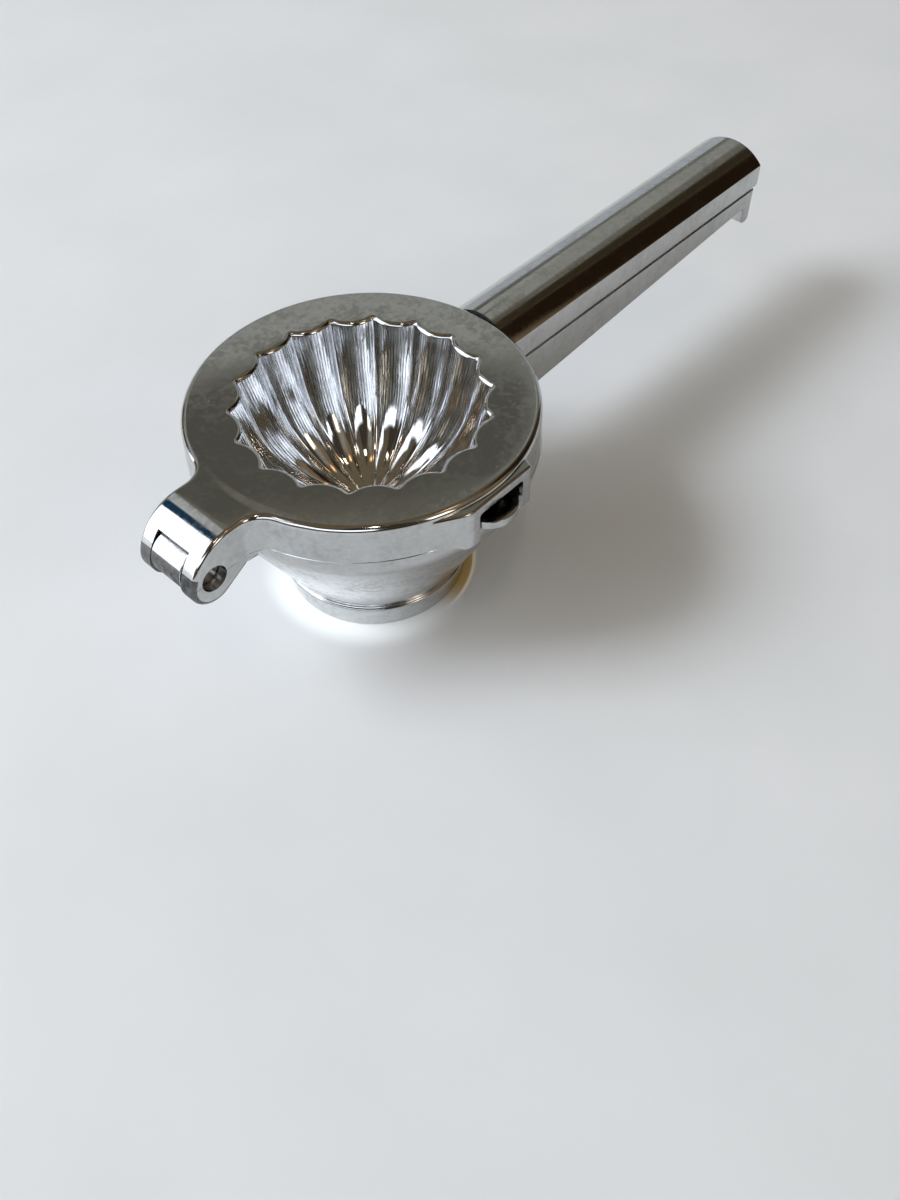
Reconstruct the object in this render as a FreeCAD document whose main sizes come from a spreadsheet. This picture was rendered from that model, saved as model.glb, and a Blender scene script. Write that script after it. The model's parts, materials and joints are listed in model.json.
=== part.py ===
import FreeCAD, Part
import math
import os
import re

import Sketcher

# Hinged lemon squeezer in millimetres. The origin is the centre of the foot on the table, +Z is up.
# The handles run towards +X, the hinge is at -X and the pouring spout faces -Y.

SIZES = [
    ("bowl_height", 45.0, "table to the seam between bowl and lid"),
    ("lid_height", 10.0, "seam to the flat top of the lid"),
    ("seam_radius", 42.2, "outside of bowl and lid at the seam"),
    ("skirt_draft", 0.3, "radius that the lid's skirt loses towards its top"),
    ("rim_round", 1.1, "rounding of the lid's top rim"),
    ("lid_wall", 2.4, "wall of the lid's skirt"),
    ("plate_thickness", 2.6, "flat top plate of the lid"),
    ("bowl_clearance", 0.3, "gap round the bowl for what hangs below the seam"),
    ("mouth_border", 11.6, "seam radius in to the outer creases of the flutes, at the top"),
    ("flute_depth", 2.2, "crease to the crest between two creases, at the top"),
    ("flute_count", 18.0, "flutes round the press cone"),
    ("cone_depth", 33.5, "depth of the fluted hollow below the lid's top"),
    ("cone_taper", 15.0, "degrees that the upper part of the cone leans in"),
    ("cone_end_angle", 82.0, "degrees round the cone's ball end where the flutes stop"),
    ("cone_wall", 2.2, "metal between the hollow and the outside of the cone"),
    ("foot_height", 7.5, "table to the step above the foot"),
    ("foot_top_radius", 24.4, "foot at its step"),
    ("foot_base_radius", 23.5, "foot on the table"),
    ("foot_ring_width", 3.0, "width of the ring that the foot stands on"),
    ("foot_recess", 4.0, "hollow under the foot"),
    ("shoulder_drop", 3.3, "seam down to the corner of the bowl's side before rounding"),
    ("shoulder_straight", 0.363, "seam down to where that corner's rounding starts"),
    ("bowl_wall", 2.8, "wall of the bowl"),
    ("bowl_floor", 4.0, "thickness of the bowl's floor above the foot recess"),
    ("pin_set", 12.0, "seam radius out to the hinge pin"),
    ("pin_radius", 3.2, "hinge pin"),
    ("pin_recess", 2.7, "how deep each end of the pin lies in its ear"),
    ("running_clearance", 0.06, "radial play of the knuckle on the pin"),
    ("knuckle_width", 9.8, "width of the bowl's hinge knuckle"),
    ("knuckle_radius", 5.9, "outside of the knuckle"),
    ("knuckle_side_gap", 0.3, "gap on each side of the knuckle"),
    ("knuckle_round_gap", 0.4, "gap between the knuckle and the web round it"),
    ("knuckle_arm_drop", 9.5, "seam down to the lower end of the knuckle's arm on the bowl"),
    ("ear_thickness", 4.1, "each ear of the lid's fork"),
    ("ear_crest_radius", 13.0, "curve from the lid's top down the back of the fork"),
    ("ear_crest_set", 6.7, "pin to the start of that curve, towards the lid"),
    ("ear_low_radius", 5.8, "round lower end of each ear"),
    ("ear_low_drop", 7.0, "pin down to the lowest point of each ear"),
    ("ear_toe_drop", 1.1, "seam down to the ear's underside beside the bowl"),
    ("ear_toe_gap", 0.9, "bowl to the ear's underside"),
    ("web_overhang", 1.0, "how far the web reaches past the pin's centre"),
    ("neck_round", 6.0, "hollow curve between the lid's rim and the fork"),
    ("handle_length", 112.3, "seam radius to the end of the upper handle"),
    ("handle_half_width", 10.3, "half the width of both handles"),
    ("handle_wall", 2.0, "wall of both channel handles"),
    ("handle_edge_round", 0.8, "rounding of the upper handle's long edges"),
    ("handle_end_chamfer", 1.4, "bevel under the end of the upper handle"),
    ("crown_radius", 14.0, "arched top of the upper handle"),
    ("crown_rise", 0.4, "crest of the upper handle above the lid's top"),
    ("handle_drop", 0.8, "seam down to the middle of the gap between the handles"),
    ("handle_gap", 0.3, "gap between the closed handles"),
    ("lower_set_back", 1.7, "how much sooner the lower handle ends than the upper one"),
    ("lower_root_depth", 13.0, "depth of the lower handle at the bowl"),
    ("lower_tip_depth", 5.0, "depth of the lower handle at its hook"),
    ("hook_depth", 10.4, "depth of the finger hook below the gap"),
    ("hook_thickness", 3.6, "thickness of the finger hook"),
    ("hook_round", 1.5, "rounding of the hook's lower edges"),
    ("hook_fillet", 1.6, "hollow corner between handle and hook"),
    ("visor_proud", 0.8, "front of the spout visor beyond the seam radius"),
    ("visor_side", 3.2, "width of each side of the visor's front, beside its opening"),
    ("visor_flare", 2.2, "how much wider the visor is at its root, each side"),
    ("visor_depth", 5.0, "depth of the visor, front to root"),
    ("visor_ledge", 2.2, "lid's top down to the visor's top"),
    ("visor_leg", 2.6, "how far the visor's legs hang below the seam"),
    ("visor_opening", 7.0, "seam up to the roof of the visor's opening"),
    ("visor_corner_round", 2.4, "rounding of the opening's upper corners"),
    ("lip_half_width", 6.9, "half the width of the pouring lip"),
    ("lip_side_gap", 0.3, "gap between the lip and each leg of the visor"),
    ("lip_proud", 3.8, "tip of the pouring lip beyond the seam radius"),
    ("lip_tip_radius", 8.4, "curve of the lip's rim seen from above"),
    ("lip_root_radius", 3.2, "curve of the lip at its lower end"),
    ("lip_rise", 2.8, "seam up to the lip's rim"),
    ("lip_root_drop", 8.0, "seam down to the lower end of the lip"),
    ("lip_wall", 1.6, "wall of the pouring lip"),
    ("cut_past", 1.0, "how far a cut starts or ends outside the metal"),
]

FULL_TURN = 360.0
# Stretches of the fluted cone between two wires: on its straight taper and round its ball end
CONE_BANDS = 3
BALL_BANDS = 7
# Smallest volume in cubic millimetres that a pad or pocket has to change
LEAST_CHANGE = 1.0
# Slack in millimetres of the boxes that pick edges
SLACK = 0.1

doc = FreeCAD.newDocument("lemon_squeezer")
sheet = doc.addObject("Spreadsheet::Sheet", "Sizes")
for row, (alias, size, meaning) in enumerate(SIZES, start=1):
    sheet.set(f"A{row}", alias)
    sheet.set(f"B{row}", str(size))
    sheet.set(f"C{row}", meaning)
    sheet.setAlias(f"B{row}", alias)
doc.recompute()

# Places that several pieces share, written with the sizes above.
TOP = "(bowl_height + lid_height)"
BURIED = "(seam_radius * 0.75)"
FAR_OUT = "(seam_radius * 2)"
MOUTH = "(seam_radius - mouth_border)"
PIN_REACH = "(seam_radius + pin_set)"
SKIRT_INSIDE = "(seam_radius - lid_wall)"
BOWL_INSIDE = "(seam_radius - bowl_wall)"
EAR_HALF = "(knuckle_width / 2 + knuckle_side_gap + ear_thickness)"
SLOT_HALF = "(knuckle_width / 2 + knuckle_side_gap)"
CREST_X = f"({PIN_REACH} - ear_crest_set)"
HANDLE_END = "(seam_radius + handle_length)"
CROWN_START = "(seam_radius - skirt_draft - rim_round / 2)"
CHANNEL_START = "(seam_radius + handle_wall / 2)"
LOWER_END = f"({HANDLE_END} - lower_set_back)"
UPPER_BOTTOM = "(bowl_height - handle_drop + handle_gap / 2)"
LOWER_TOP = "(bowl_height - handle_drop - handle_gap / 2)"
CROWN_TOP = f"({TOP} + crown_rise)"
CROWN_SAG = "(crown_radius - sqrt(crown_radius ^ 2 - handle_half_width ^ 2))"
VISOR_FRONT = "(seam_radius + visor_proud)"
OPENING_HALF = "(lip_half_width + lip_side_gap)"
VISOR_HALF = f"({OPENING_HALF} + visor_side)"
LIP_CENTRE = "(seam_radius + lip_proud - lip_tip_radius)"


def with_sheet(expression):
    """Puts the sheet's name in front of every size in an expression."""
    return re.sub(r"[a-z]+(?:_[a-z]+)+", lambda word: "Sizes." + word.group(), expression)


def value(expression):
    """The number that an expression has with the sheet's present sizes."""
    return float(sheet.evalExpression(expression))


def bind(item, place, expression):
    """Sets a property, or a named place in it, from the sheet."""
    item.setExpression(place, with_sheet(expression))


def origin_plane(body, role):
    """One of a body's own origin planes or axes."""
    return [part for part in body.Origin.OriginFeatures if part.Role == role][0]


def outline(body, name, role, points, offset="0"):
    """A closed sketch through points; a third entry bends the way to the next point.

    The bend is a radius, and a minus sign in front of it puts the arc's centre on the right.
    """
    sketch = body.newObject("Sketcher::SketchObject", name)
    sketch.AttachmentSupport = (origin_plane(body, role), [""])
    sketch.MapMode = "FlatFace"
    bind(sketch, "AttachmentOffset.Base.z", offset)
    places = [FreeCAD.Vector(value(point[0]), value(point[1]), 0) for point in points]
    count = len(points)
    for index, point in enumerate(points):
        start = places[index]
        end = places[(index + 1) % count]
        if len(point) == 3:
            sketch.addGeometry(arc_between(start, end, point[2]), False)
        else:
            sketch.addGeometry(Part.LineSegment(start, end), False)
    ends = [arc_ends(point) for point in points]
    for index in range(count):
        following = (index + 1) % count
        joint = Sketcher.Constraint("Coincident", index, ends[index][1], following, ends[following][0])
        sketch.addConstraint(joint)
    for index, point in enumerate(points):
        for kind, expression in (("DistanceX", point[0]), ("DistanceY", point[1])):
            bound = Sketcher.Constraint(kind, -1, 1, index, ends[index][0], value(expression))
            number = sketch.addConstraint(bound)
            bind(sketch, f"Constraints[{number}]", expression)
        if len(point) == 3:
            radius = point[2].lstrip("-")
            number = sketch.addConstraint(Sketcher.Constraint("Radius", index, value(radius)))
            bind(sketch, f"Constraints[{number}]", radius)
    return sketch


def arc_ends(point):
    """Which ends of an edge come first and last: an arc runs anticlockwise in the sketch."""
    if len(point) == 3 and point[2].startswith("-"):
        return (2, 1)
    return (1, 2)


def arc_between(start, end, bend):
    """The shorter arc of one radius between two points of a sketch."""
    clockwise = bend.startswith("-")
    radius = value(bend.lstrip("-"))
    chord = end - start
    middle = (start + end) * 0.5
    side = FreeCAD.Vector(-chord.y, chord.x, 0).normalize()
    if clockwise:
        side = side * -1
    centre = middle + side * math.sqrt(max(radius ** 2 - (chord.Length / 2) ** 2, 0))
    first, last = (end, start) if clockwise else (start, end)
    circle = Part.Circle(centre, FreeCAD.Vector(0, 0, 1), radius)
    turn_first = math.atan2(first.y - centre.y, first.x - centre.x)
    turn_last = math.atan2(last.y - centre.y, last.x - centre.x)
    if turn_last < turn_first:
        turn_last += 2 * math.pi
    return Part.ArcOfCircle(circle, turn_first, turn_last)


def ring(body, name, role, x, y, radius, offset="0"):
    """A sketch of one full circle."""
    sketch = body.newObject("Sketcher::SketchObject", name)
    sketch.AttachmentSupport = (origin_plane(body, role), [""])
    sketch.MapMode = "FlatFace"
    bind(sketch, "AttachmentOffset.Base.z", offset)
    centre = FreeCAD.Vector(value(x), value(y), 0)
    sketch.addGeometry(Part.Circle(centre, FreeCAD.Vector(0, 0, 1), value(radius)), False)
    for kind, expression in (("DistanceX", x), ("DistanceY", y)):
        number = sketch.addConstraint(Sketcher.Constraint(kind, -1, 1, 0, 3, value(expression)))
        bind(sketch, f"Constraints[{number}]", expression)
    number = sketch.addConstraint(Sketcher.Constraint("Radius", 0, value(radius)))
    bind(sketch, f"Constraints[{number}]", radius)
    return sketch


def feature(body, kind, name, sketch, length, both_ways=False, turned=False):
    """A pad or a pocket of a sketch; a pocket has to change the body's volume."""
    before = body.Shape.Volume
    item = body.newObject("PartDesign::" + kind, name)
    item.Profile = sketch
    item.SideType = "Symmetric" if both_ways else "One side"
    item.Reversed = turned
    bind(item, "Length", length)
    doc.recompute()
    if abs(body.Shape.Volume - before) < LEAST_CHANGE:
        raise ValueError(name + " changes nothing")
    return item


def revolved(body, kind, name, sketch):
    """A revolution or a groove of a sketch about the squeezer's upright axis."""
    item = body.newObject("PartDesign::" + kind, name)
    item.Profile = sketch
    item.ReferenceAxis = (sketch, ["V_Axis"])
    item.Angle = FULL_TURN
    doc.recompute()
    return item


def edges_in(shape, low, high):
    """Names of the edges that lie wholly between two corners, with a little slack."""
    room = FreeCAD.BoundBox(FreeCAD.Vector(*low), FreeCAD.Vector(*high))
    room.enlarge(SLACK)
    numbered = enumerate(shape.Edges, start=1)
    return [f"Edge{number}" for number, edge in numbered if room.isInside(edge.BoundBox)]


def dress(body, kind, name, size_place, size, low, high):
    """A fillet or a chamfer on every edge between two corners."""
    names = edges_in(body.Shape, low, high)
    if not names:
        raise ValueError(name + " finds no edge")
    tip = body.Tip
    item = body.newObject("PartDesign::" + kind, name)
    item.Base = (tip, names)
    bind(item, size_place, size)
    doc.recompute()
    return item


# Outline of the fluted press cone

def cone_radius(depth, wall):
    """Crease radius at a depth below the lid's top: a straight taper that ends in a ball."""
    ball = ball_radius()
    lean = math.radians(value("cone_taper"))
    centre = value("cone_depth") - ball
    outer = ball + wall
    join = centre + outer * math.sin(lean)
    if depth <= join:
        return outer * math.cos(lean) + (join - depth) * math.tan(lean)
    return math.sqrt(outer ** 2 - (depth - centre) ** 2)


def ball_radius():
    """Radius of the ball that touches the taper, so that both mouth and depth come out right."""
    lean = math.radians(value("cone_taper"))
    reach = value(MOUTH) - value("cone_depth") * math.tan(lean)
    return reach / (math.cos(lean) - (1 - math.sin(lean)) * math.tan(lean))


def star(radius, ridge_share, height):
    """Wire of the flutes at one height: arcs that bulge inwards and meet in sharp creases."""
    count = round(value("flute_count"))
    step = 2 * math.pi / count
    arcs = []
    for number in range(count):
        turns = (number * step, (number + 0.5) * step, (number + 1) * step)
        reaches = (radius, radius * ridge_share, radius)
        corners = [FreeCAD.Vector(reach * math.cos(turn), reach * math.sin(turn), height)
                   for turn, reach in zip(turns, reaches)]
        arcs.append(Part.Arc(*corners).toShape())
    return Part.Wire(arcs)


def fluted_cone(name, wall, above):
    """Solid of the fluted shape, grown by a wall, from a little above the lid's top to its end."""
    ball = ball_radius()
    centre = value("cone_depth") - ball
    lean = value("cone_taper")
    join = centre + (ball + wall) * math.sin(math.radians(lean))
    depths = [-above + (join + above) * band / CONE_BANDS for band in range(CONE_BANDS + 1)]
    end = value("cone_end_angle")
    for band in range(1, BALL_BANDS + 1):
        turn = math.radians(lean + (end - lean) * band / BALL_BANDS)
        depths.append(centre + (ball + wall) * math.sin(turn))
    ridge_share = 1 - value("flute_depth") / value(MOUTH)
    top = value(TOP)
    wires = [star(cone_radius(depth, wall), ridge_share, top - depth) for depth in depths]
    item = doc.addObject("Part::Feature", name)
    item.Shape = Part.makeLoft(wires, True, False)
    return item


# Press lid: disc with skirt, upper handle, hinge fork and spout visor

lid = doc.addObject("PartDesign::Body", "lid_casting")

disc_section = outline(lid, "disc_section", "XZ_Plane", [
    ("0", "bowl_height"),
    ("seam_radius", "bowl_height"),
    ("seam_radius - skirt_draft", TOP),
    ("0", TOP),
])
revolved(lid, "Revolution", "disc", disc_section)
seam = value("seam_radius")
top = value(TOP)
dress(lid, "Fillet", "disc_rim", "Radius", "rim_round", (-seam, -seam, top), (seam, seam, top))

neck_centre = f"sqrt((seam_radius + neck_round) ^ 2 - ({EAR_HALF} + neck_round) ^ 2)"
neck_share = "seam_radius / (seam_radius + neck_round)"
neck_x = f"-({neck_centre} * {neck_share})"
neck_y = f"(({EAR_HALF} + neck_round) * {neck_share})"
neck_plan = outline(lid, "neck_plan", "XY_Plane", [
    (f"-{BURIED}", f"-{neck_y}"),
    (f"-{BURIED}", neck_y),
    (neck_x, neck_y, "-neck_round"),
    (f"-({neck_centre})", EAR_HALF),
    (f"-({neck_centre})", f"-{EAR_HALF}", "-neck_round"),
    (neck_x, f"-{neck_y}"),
], offset="bowl_height")
feature(lid, "Pad", "neck", neck_plan, "lid_height")

crest_fall = "sqrt(ear_crest_radius ^ 2 - (ear_crest_radius - lid_height) ^ 2)"
fork_side = outline(lid, "fork_side", "XZ_Plane", [
    (f"-{BURIED}", "bowl_height"),
    (f"-{BURIED}", TOP),
    (f"-{CREST_X}", TOP, "ear_crest_radius"),
    (f"-({CREST_X} + {crest_fall})", "bowl_height", "ear_low_radius"),
    (f"-{PIN_REACH}", "bowl_height - ear_low_drop"),
    ("-(seam_radius + ear_toe_gap)", "bowl_height - ear_toe_drop"),
    ("-(seam_radius + ear_toe_gap)", "bowl_height"),
])
feature(lid, "Pad", "fork", fork_side, f"2 * {EAR_HALF}", both_ways=True)

crown_section = outline(lid, "crown_section", "YZ_Plane", [
    ("-handle_half_width", UPPER_BOTTOM),
    ("handle_half_width", UPPER_BOTTOM),
    ("handle_half_width", f"{CROWN_TOP} - {CROWN_SAG}", "crown_radius"),
    ("-handle_half_width", f"{CROWN_TOP} - {CROWN_SAG}"),
], offset=BURIED)
feature(lid, "Pad", "upper_handle", crown_section, f"{HANDLE_END} - {BURIED}")
crown_root = outline(lid, "crown_root", "XY_Plane", [
    (f"{BURIED} - cut_past", "-(handle_half_width + cut_past)"),
    (CROWN_START, "-(handle_half_width + cut_past)"),
    (CROWN_START, "handle_half_width + cut_past"),
    (f"{BURIED} - cut_past", "handle_half_width + cut_past"),
], offset=TOP)
feature(lid, "Pocket", "crown_step", crown_root, "crown_rise + cut_past", turned=True)

visor_plan = outline(lid, "visor_plan", "XY_Plane", [
    (f"-{VISOR_HALF}", f"-{VISOR_FRONT}"),
    (VISOR_HALF, f"-{VISOR_FRONT}"),
    (f"{VISOR_HALF} + visor_flare", f"-({VISOR_FRONT} - visor_depth)"),
    (f"-{VISOR_HALF} - visor_flare", f"-({VISOR_FRONT} - visor_depth)"),
], offset="bowl_height - visor_leg")
feature(lid, "Pad", "visor", visor_plan, "visor_leg + lid_height - visor_ledge")

# Cuts in the lid

bowl_room = ring(lid, "bowl_room", "XY_Plane", "0", "0", "seam_radius + bowl_clearance")
feature(lid, "Pocket", "room_for_bowl", bowl_room, "bowl_height", turned=True)
cavity_plan = ring(lid, "cavity_plan", "XY_Plane", "0", "0", SKIRT_INSIDE)
feature(lid, "Pocket", "cavity", cavity_plan, f"{TOP} - plate_thickness", turned=True)

inner_crown = "(crown_radius - handle_wall)"
inner_shoulder = (f"{CROWN_TOP} - crown_radius"
                  f" + sqrt({inner_crown} ^ 2 - (handle_half_width - handle_wall) ^ 2)")
channel_section = outline(lid, "channel_section", "YZ_Plane", [
    ("-(handle_half_width - handle_wall)", f"{UPPER_BOTTOM} - cut_past"),
    ("handle_half_width - handle_wall", f"{UPPER_BOTTOM} - cut_past"),
    ("handle_half_width - handle_wall", inner_shoulder, inner_crown),
    ("-(handle_half_width - handle_wall)", inner_shoulder),
], offset=CHANNEL_START)
channel_length = f"{HANDLE_END} - handle_wall - {CHANNEL_START}"
feature(lid, "Pocket", "upper_channel", channel_section, channel_length, turned=True)

slot_side = outline(lid, "slot_side", "XZ_Plane", [
    (f"-({PIN_REACH} + web_overhang)", "0"),
    (f"-({PIN_REACH} + web_overhang)", f"{TOP} + cut_past"),
    (f"-{FAR_OUT}", f"{TOP} + cut_past"),
    (f"-{FAR_OUT}", "0"),
])
feature(lid, "Pocket", "fork_slot", slot_side, f"2 * {SLOT_HALF}", both_ways=True)
knuckle_room = ring(lid, "knuckle_room", "XZ_Plane", f"-{PIN_REACH}", "bowl_height",
                    "knuckle_radius + knuckle_round_gap")
feature(lid, "Pocket", "room_for_knuckle", knuckle_room, f"2 * {SLOT_HALF}", both_ways=True)
arm_room = outline(lid, "arm_room", "XZ_Plane", [
    (f"-({PIN_REACH} + web_overhang)", "0"),
    ("-(seam_radius - lid_wall / 2)", "0"),
    ("-(seam_radius - lid_wall / 2)", "bowl_height"),
    (f"-({PIN_REACH} + web_overhang)", "bowl_height"),
])
feature(lid, "Pocket", "room_for_arm", arm_room, f"2 * {SLOT_HALF}", both_ways=True)
ear_bore = ring(lid, "ear_bore", "XZ_Plane", f"-{PIN_REACH}", "bowl_height", "pin_radius")
feature(lid, "Pocket", "pin_bore", ear_bore, f"2 * ({EAR_HALF} + cut_past)", both_ways=True)

opening_front = outline(lid, "opening_front", "XZ_Plane", [
    (f"-{OPENING_HALF}", "bowl_height - visor_leg - cut_past"),
    (OPENING_HALF, "bowl_height - visor_leg - cut_past"),
    (OPENING_HALF, "bowl_height + visor_opening - visor_corner_round", "visor_corner_round"),
    (f"{OPENING_HALF} - visor_corner_round", "bowl_height + visor_opening"),
    (f"-({OPENING_HALF} - visor_corner_round)", "bowl_height + visor_opening", "visor_corner_round"),
    (f"-{OPENING_HALF}", "bowl_height + visor_opening - visor_corner_round"),
])
feature(lid, "Pocket", "visor_opening", opening_front, FAR_OUT, turned=True)

half = value("handle_half_width")
end_x = value(HANDLE_END)
side_edge = value(f"{CROWN_TOP} - {CROWN_SAG}")
low_edge = value(UPPER_BOTTOM)
dress(lid, "Fillet", "handle_edges", "Radius", "handle_edge_round",
      (value(BURIED), -half, side_edge), (end_x, half, side_edge))
dress(lid, "Chamfer", "handle_end", "Size", "handle_end_chamfer",
      (end_x, -half, low_edge), (end_x, half, low_edge))

cone_outside = fluted_cone("cone_outside", value("cone_wall"), -value("plate_thickness / 2"))
cone_hollow = fluted_cone("cone_hollow", 0.0, value("cut_past"))
lid_with_cone = doc.addObject("Part::Fuse", "lid_with_cone")
lid_with_cone.Base = lid
lid_with_cone.Tool = cone_outside
press_lid = doc.addObject("Part::Cut", "press_lid")
press_lid.Base = lid_with_cone
press_lid.Tool = cone_hollow

# Juice bowl: bowl on its foot, hinge knuckle, lower handle with its hook, and pouring lip

bowl = doc.addObject("PartDesign::Body", "bowl_casting")

side_slope = "((seam_radius - foot_top_radius) / (bowl_height - shoulder_drop - foot_height))"
side_slant = f"sqrt(1 + {side_slope} ^ 2)"
round_reach = "(shoulder_drop - shoulder_straight)"
shoulder_round = f"({round_reach} * {side_slope} / ({side_slant} - 1))"
corner_height = "(bowl_height - shoulder_drop)"
bowl_section = outline(bowl, "bowl_section", "XZ_Plane", [
    ("0", "0"),
    ("foot_base_radius", "0"),
    ("foot_top_radius", "foot_height"),
    (f"seam_radius - {round_reach} * {side_slope} / {side_slant}",
     f"{corner_height} - {round_reach} / {side_slant}", shoulder_round),
    ("seam_radius", f"{corner_height} + {round_reach}"),
    ("seam_radius", "bowl_height"),
    ("0", "bowl_height"),
])
revolved(bowl, "Revolution", "bowl_outside", bowl_section)

arm_side = outline(bowl, "arm_side", "XZ_Plane", [
    (f"-{PIN_REACH}", "bowl_height - knuckle_radius"),
    (f"-{BURIED}", "bowl_height - knuckle_arm_drop"),
    (f"-{BURIED}", "bowl_height - bowl_clearance"),
    (f"-{PIN_REACH}", "bowl_height - bowl_clearance"),
])
feature(bowl, "Pad", "knuckle_arm", arm_side, "knuckle_width", both_ways=True)
knuckle_side = ring(bowl, "knuckle_side", "XZ_Plane", f"-{PIN_REACH}", "bowl_height", "knuckle_radius")
feature(bowl, "Pad", "knuckle", knuckle_side, "knuckle_width", both_ways=True)

tip_x = f"({LOWER_END} - hook_thickness)"
handle_side = outline(bowl, "handle_side", "XZ_Plane", [
    (BURIED, LOWER_TOP),
    (BURIED, f"{LOWER_TOP} - lower_root_depth"),
    (tip_x, f"{LOWER_TOP} - lower_tip_depth"),
    (tip_x, f"{LOWER_TOP} - hook_depth"),
    (LOWER_END, f"{LOWER_TOP} - hook_depth"),
    (LOWER_END, LOWER_TOP),
])
feature(bowl, "Pad", "lower_handle", handle_side, "2 * handle_half_width", both_ways=True)
hook_x = value(tip_x)
hook_low = value(f"{LOWER_TOP} - hook_depth")
hook_high = value(f"{LOWER_TOP} - lower_tip_depth")
dress(bowl, "Fillet", "hook_edges", "Radius", "hook_round",
      (hook_x, -half, hook_low), (value(LOWER_END), half, hook_low))
dress(bowl, "Fillet", "hook_corner", "Radius", "hook_fillet",
      (hook_x, -half, hook_high), (hook_x, half, hook_high))

# Cuts in the bowl

floor_height = "(foot_recess + bowl_floor)"
inside_low = f"(foot_top_radius - bowl_wall + ({floor_height} - foot_height) * {side_slope})"
cavity_section = outline(bowl, "cavity_section", "XZ_Plane", [
    ("0", floor_height),
    (inside_low, floor_height),
    (BOWL_INSIDE, "bowl_height - shoulder_drop"),
    (BOWL_INSIDE, "bowl_height + cut_past"),
    ("0", "bowl_height + cut_past"),
])
revolved(bowl, "Groove", "juice_space", cavity_section)
recess_plan = ring(bowl, "recess_plan", "XY_Plane", "0", "0", "foot_base_radius - foot_ring_width")
feature(bowl, "Pocket", "foot_hollow", recess_plan, "foot_recess", turned=True)

lower_slope = f"((lower_root_depth - lower_tip_depth) / ({tip_x} - {BURIED}))"
channel_rise = f"(({CHANNEL_START} - {BURIED}) * {lower_slope})"
channel_side = outline(bowl, "channel_side", "XZ_Plane", [
    (CHANNEL_START, f"{LOWER_TOP} + cut_past"),
    (CHANNEL_START, f"{LOWER_TOP} - lower_root_depth + handle_wall + {channel_rise}"),
    (tip_x, f"{LOWER_TOP} - lower_tip_depth + handle_wall"),
    (tip_x, f"{LOWER_TOP} + cut_past"),
])
channel_width = "2 * (handle_half_width - handle_wall)"
feature(bowl, "Pocket", "lower_channel", channel_side, channel_width, both_ways=True)
knuckle_bore = ring(bowl, "knuckle_bore", "XZ_Plane", f"-{PIN_REACH}", "bowl_height",
                    "pin_radius + running_clearance")
feature(bowl, "Pocket", "knuckle_hole", knuckle_bore, "knuckle_width + 2 * cut_past", both_ways=True)

# Pouring lip: part of an upright cone that widens upwards, hollowed by a smaller one

lip_outside = doc.addObject("Part::Cone", "lip_outside")
lip_hollow = doc.addObject("Part::Cone", "lip_hollow")
lip_height = "(lip_root_drop + lip_rise)"
for cone, thinner, lift in ((lip_outside, "0", "0"), (lip_hollow, "lip_wall", "lip_wall")):
    bind(cone, "Radius1", f"lip_root_radius - {thinner} / 2")
    bind(cone, "Radius2", f"lip_tip_radius - {thinner}")
    bind(cone, "Height", f"{lip_height} - {lift}")
    bind(cone, "Placement.Base.y", f"-{LIP_CENTRE}")
    bind(cone, "Placement.Base.z", f"bowl_height - lip_root_drop + {lift}")
lip_sides = doc.addObject("Part::Box", "lip_sides")
bind(lip_sides, "Length", "2 * lip_half_width")
bind(lip_sides, "Width", "lip_proud + bowl_wall + cut_past")
bind(lip_sides, "Height", lip_height)
bind(lip_sides, "Placement.Base.x", "-lip_half_width")
bind(lip_sides, "Placement.Base.y", "-(seam_radius + lip_proud)")
bind(lip_sides, "Placement.Base.z", "bowl_height - lip_root_drop")
lip = doc.addObject("Part::Common", "lip")
lip.Base = lip_outside
lip.Tool = lip_sides
bowl_with_lip = doc.addObject("Part::Fuse", "bowl_with_lip")
bowl_with_lip.Base = bowl
bowl_with_lip.Tool = lip
juice_bowl = doc.addObject("Part::Cut", "juice_bowl")
juice_bowl.Base = bowl_with_lip
juice_bowl.Tool = lip_hollow

# Hinge pin, pressed into both ears of the lid

hinge_pin = doc.addObject("Part::Cylinder", "hinge_pin")
bind(hinge_pin, "Radius", "pin_radius")
bind(hinge_pin, "Height", f"2 * ({EAR_HALF} - pin_recess)")
hinge_pin.Placement = FreeCAD.Placement(FreeCAD.Vector(), FreeCAD.Rotation(FreeCAD.Vector(1, 0, 0), 90))
bind(hinge_pin, "Placement.Base.x", f"-{PIN_REACH}")
bind(hinge_pin, "Placement.Base.y", f"{EAR_HALF} - pin_recess")
bind(hinge_pin, "Placement.Base.z", "bowl_height")

doc.recompute()

for item in doc.Objects:
    faults = [state for state in item.State if state in ("Invalid", "Error")]
    if faults:
        raise ValueError(f"{item.Name} is {faults}")

os.makedirs("parts", exist_ok=True)
for piece in (press_lid, juice_bowl, hinge_pin):
    piece.Label = piece.Name
    shape = piece.Shape
    if shape.isNull() or not shape.isValid() or len(shape.Solids) != 1:
        raise ValueError(f"{piece.Label} is not one sound solid")
    shape.exportStep(f"parts/{piece.Label}.step")
    box = shape.BoundBox
    print(f"{piece.Label}: volume {shape.Volume:.0f} mm3, x {box.XMin:.1f} to {box.XMax:.1f}, "
          f"y {box.YMin:.1f} to {box.YMax:.1f}, z {box.ZMin:.1f} to {box.ZMax:.1f}")
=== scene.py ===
# %% [markdown]
# # A hinged lemon squeezer in chrome
#
# The frame brings three solid pieces at their true size: the press lid, the juice bowl and the
# hinge pin. They carry the motion, but their edges are knife sharp, and chrome shows every edge.
# So this lesson builds the two castings again as finer skins with the roundings that a foundry
# gives them, finishes them in plated metal, and lights them like the photograph. All sizes are
# millimetres until the last moment, when a piece is turned into metres.

# %% Load the frame
import json
import math

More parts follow.
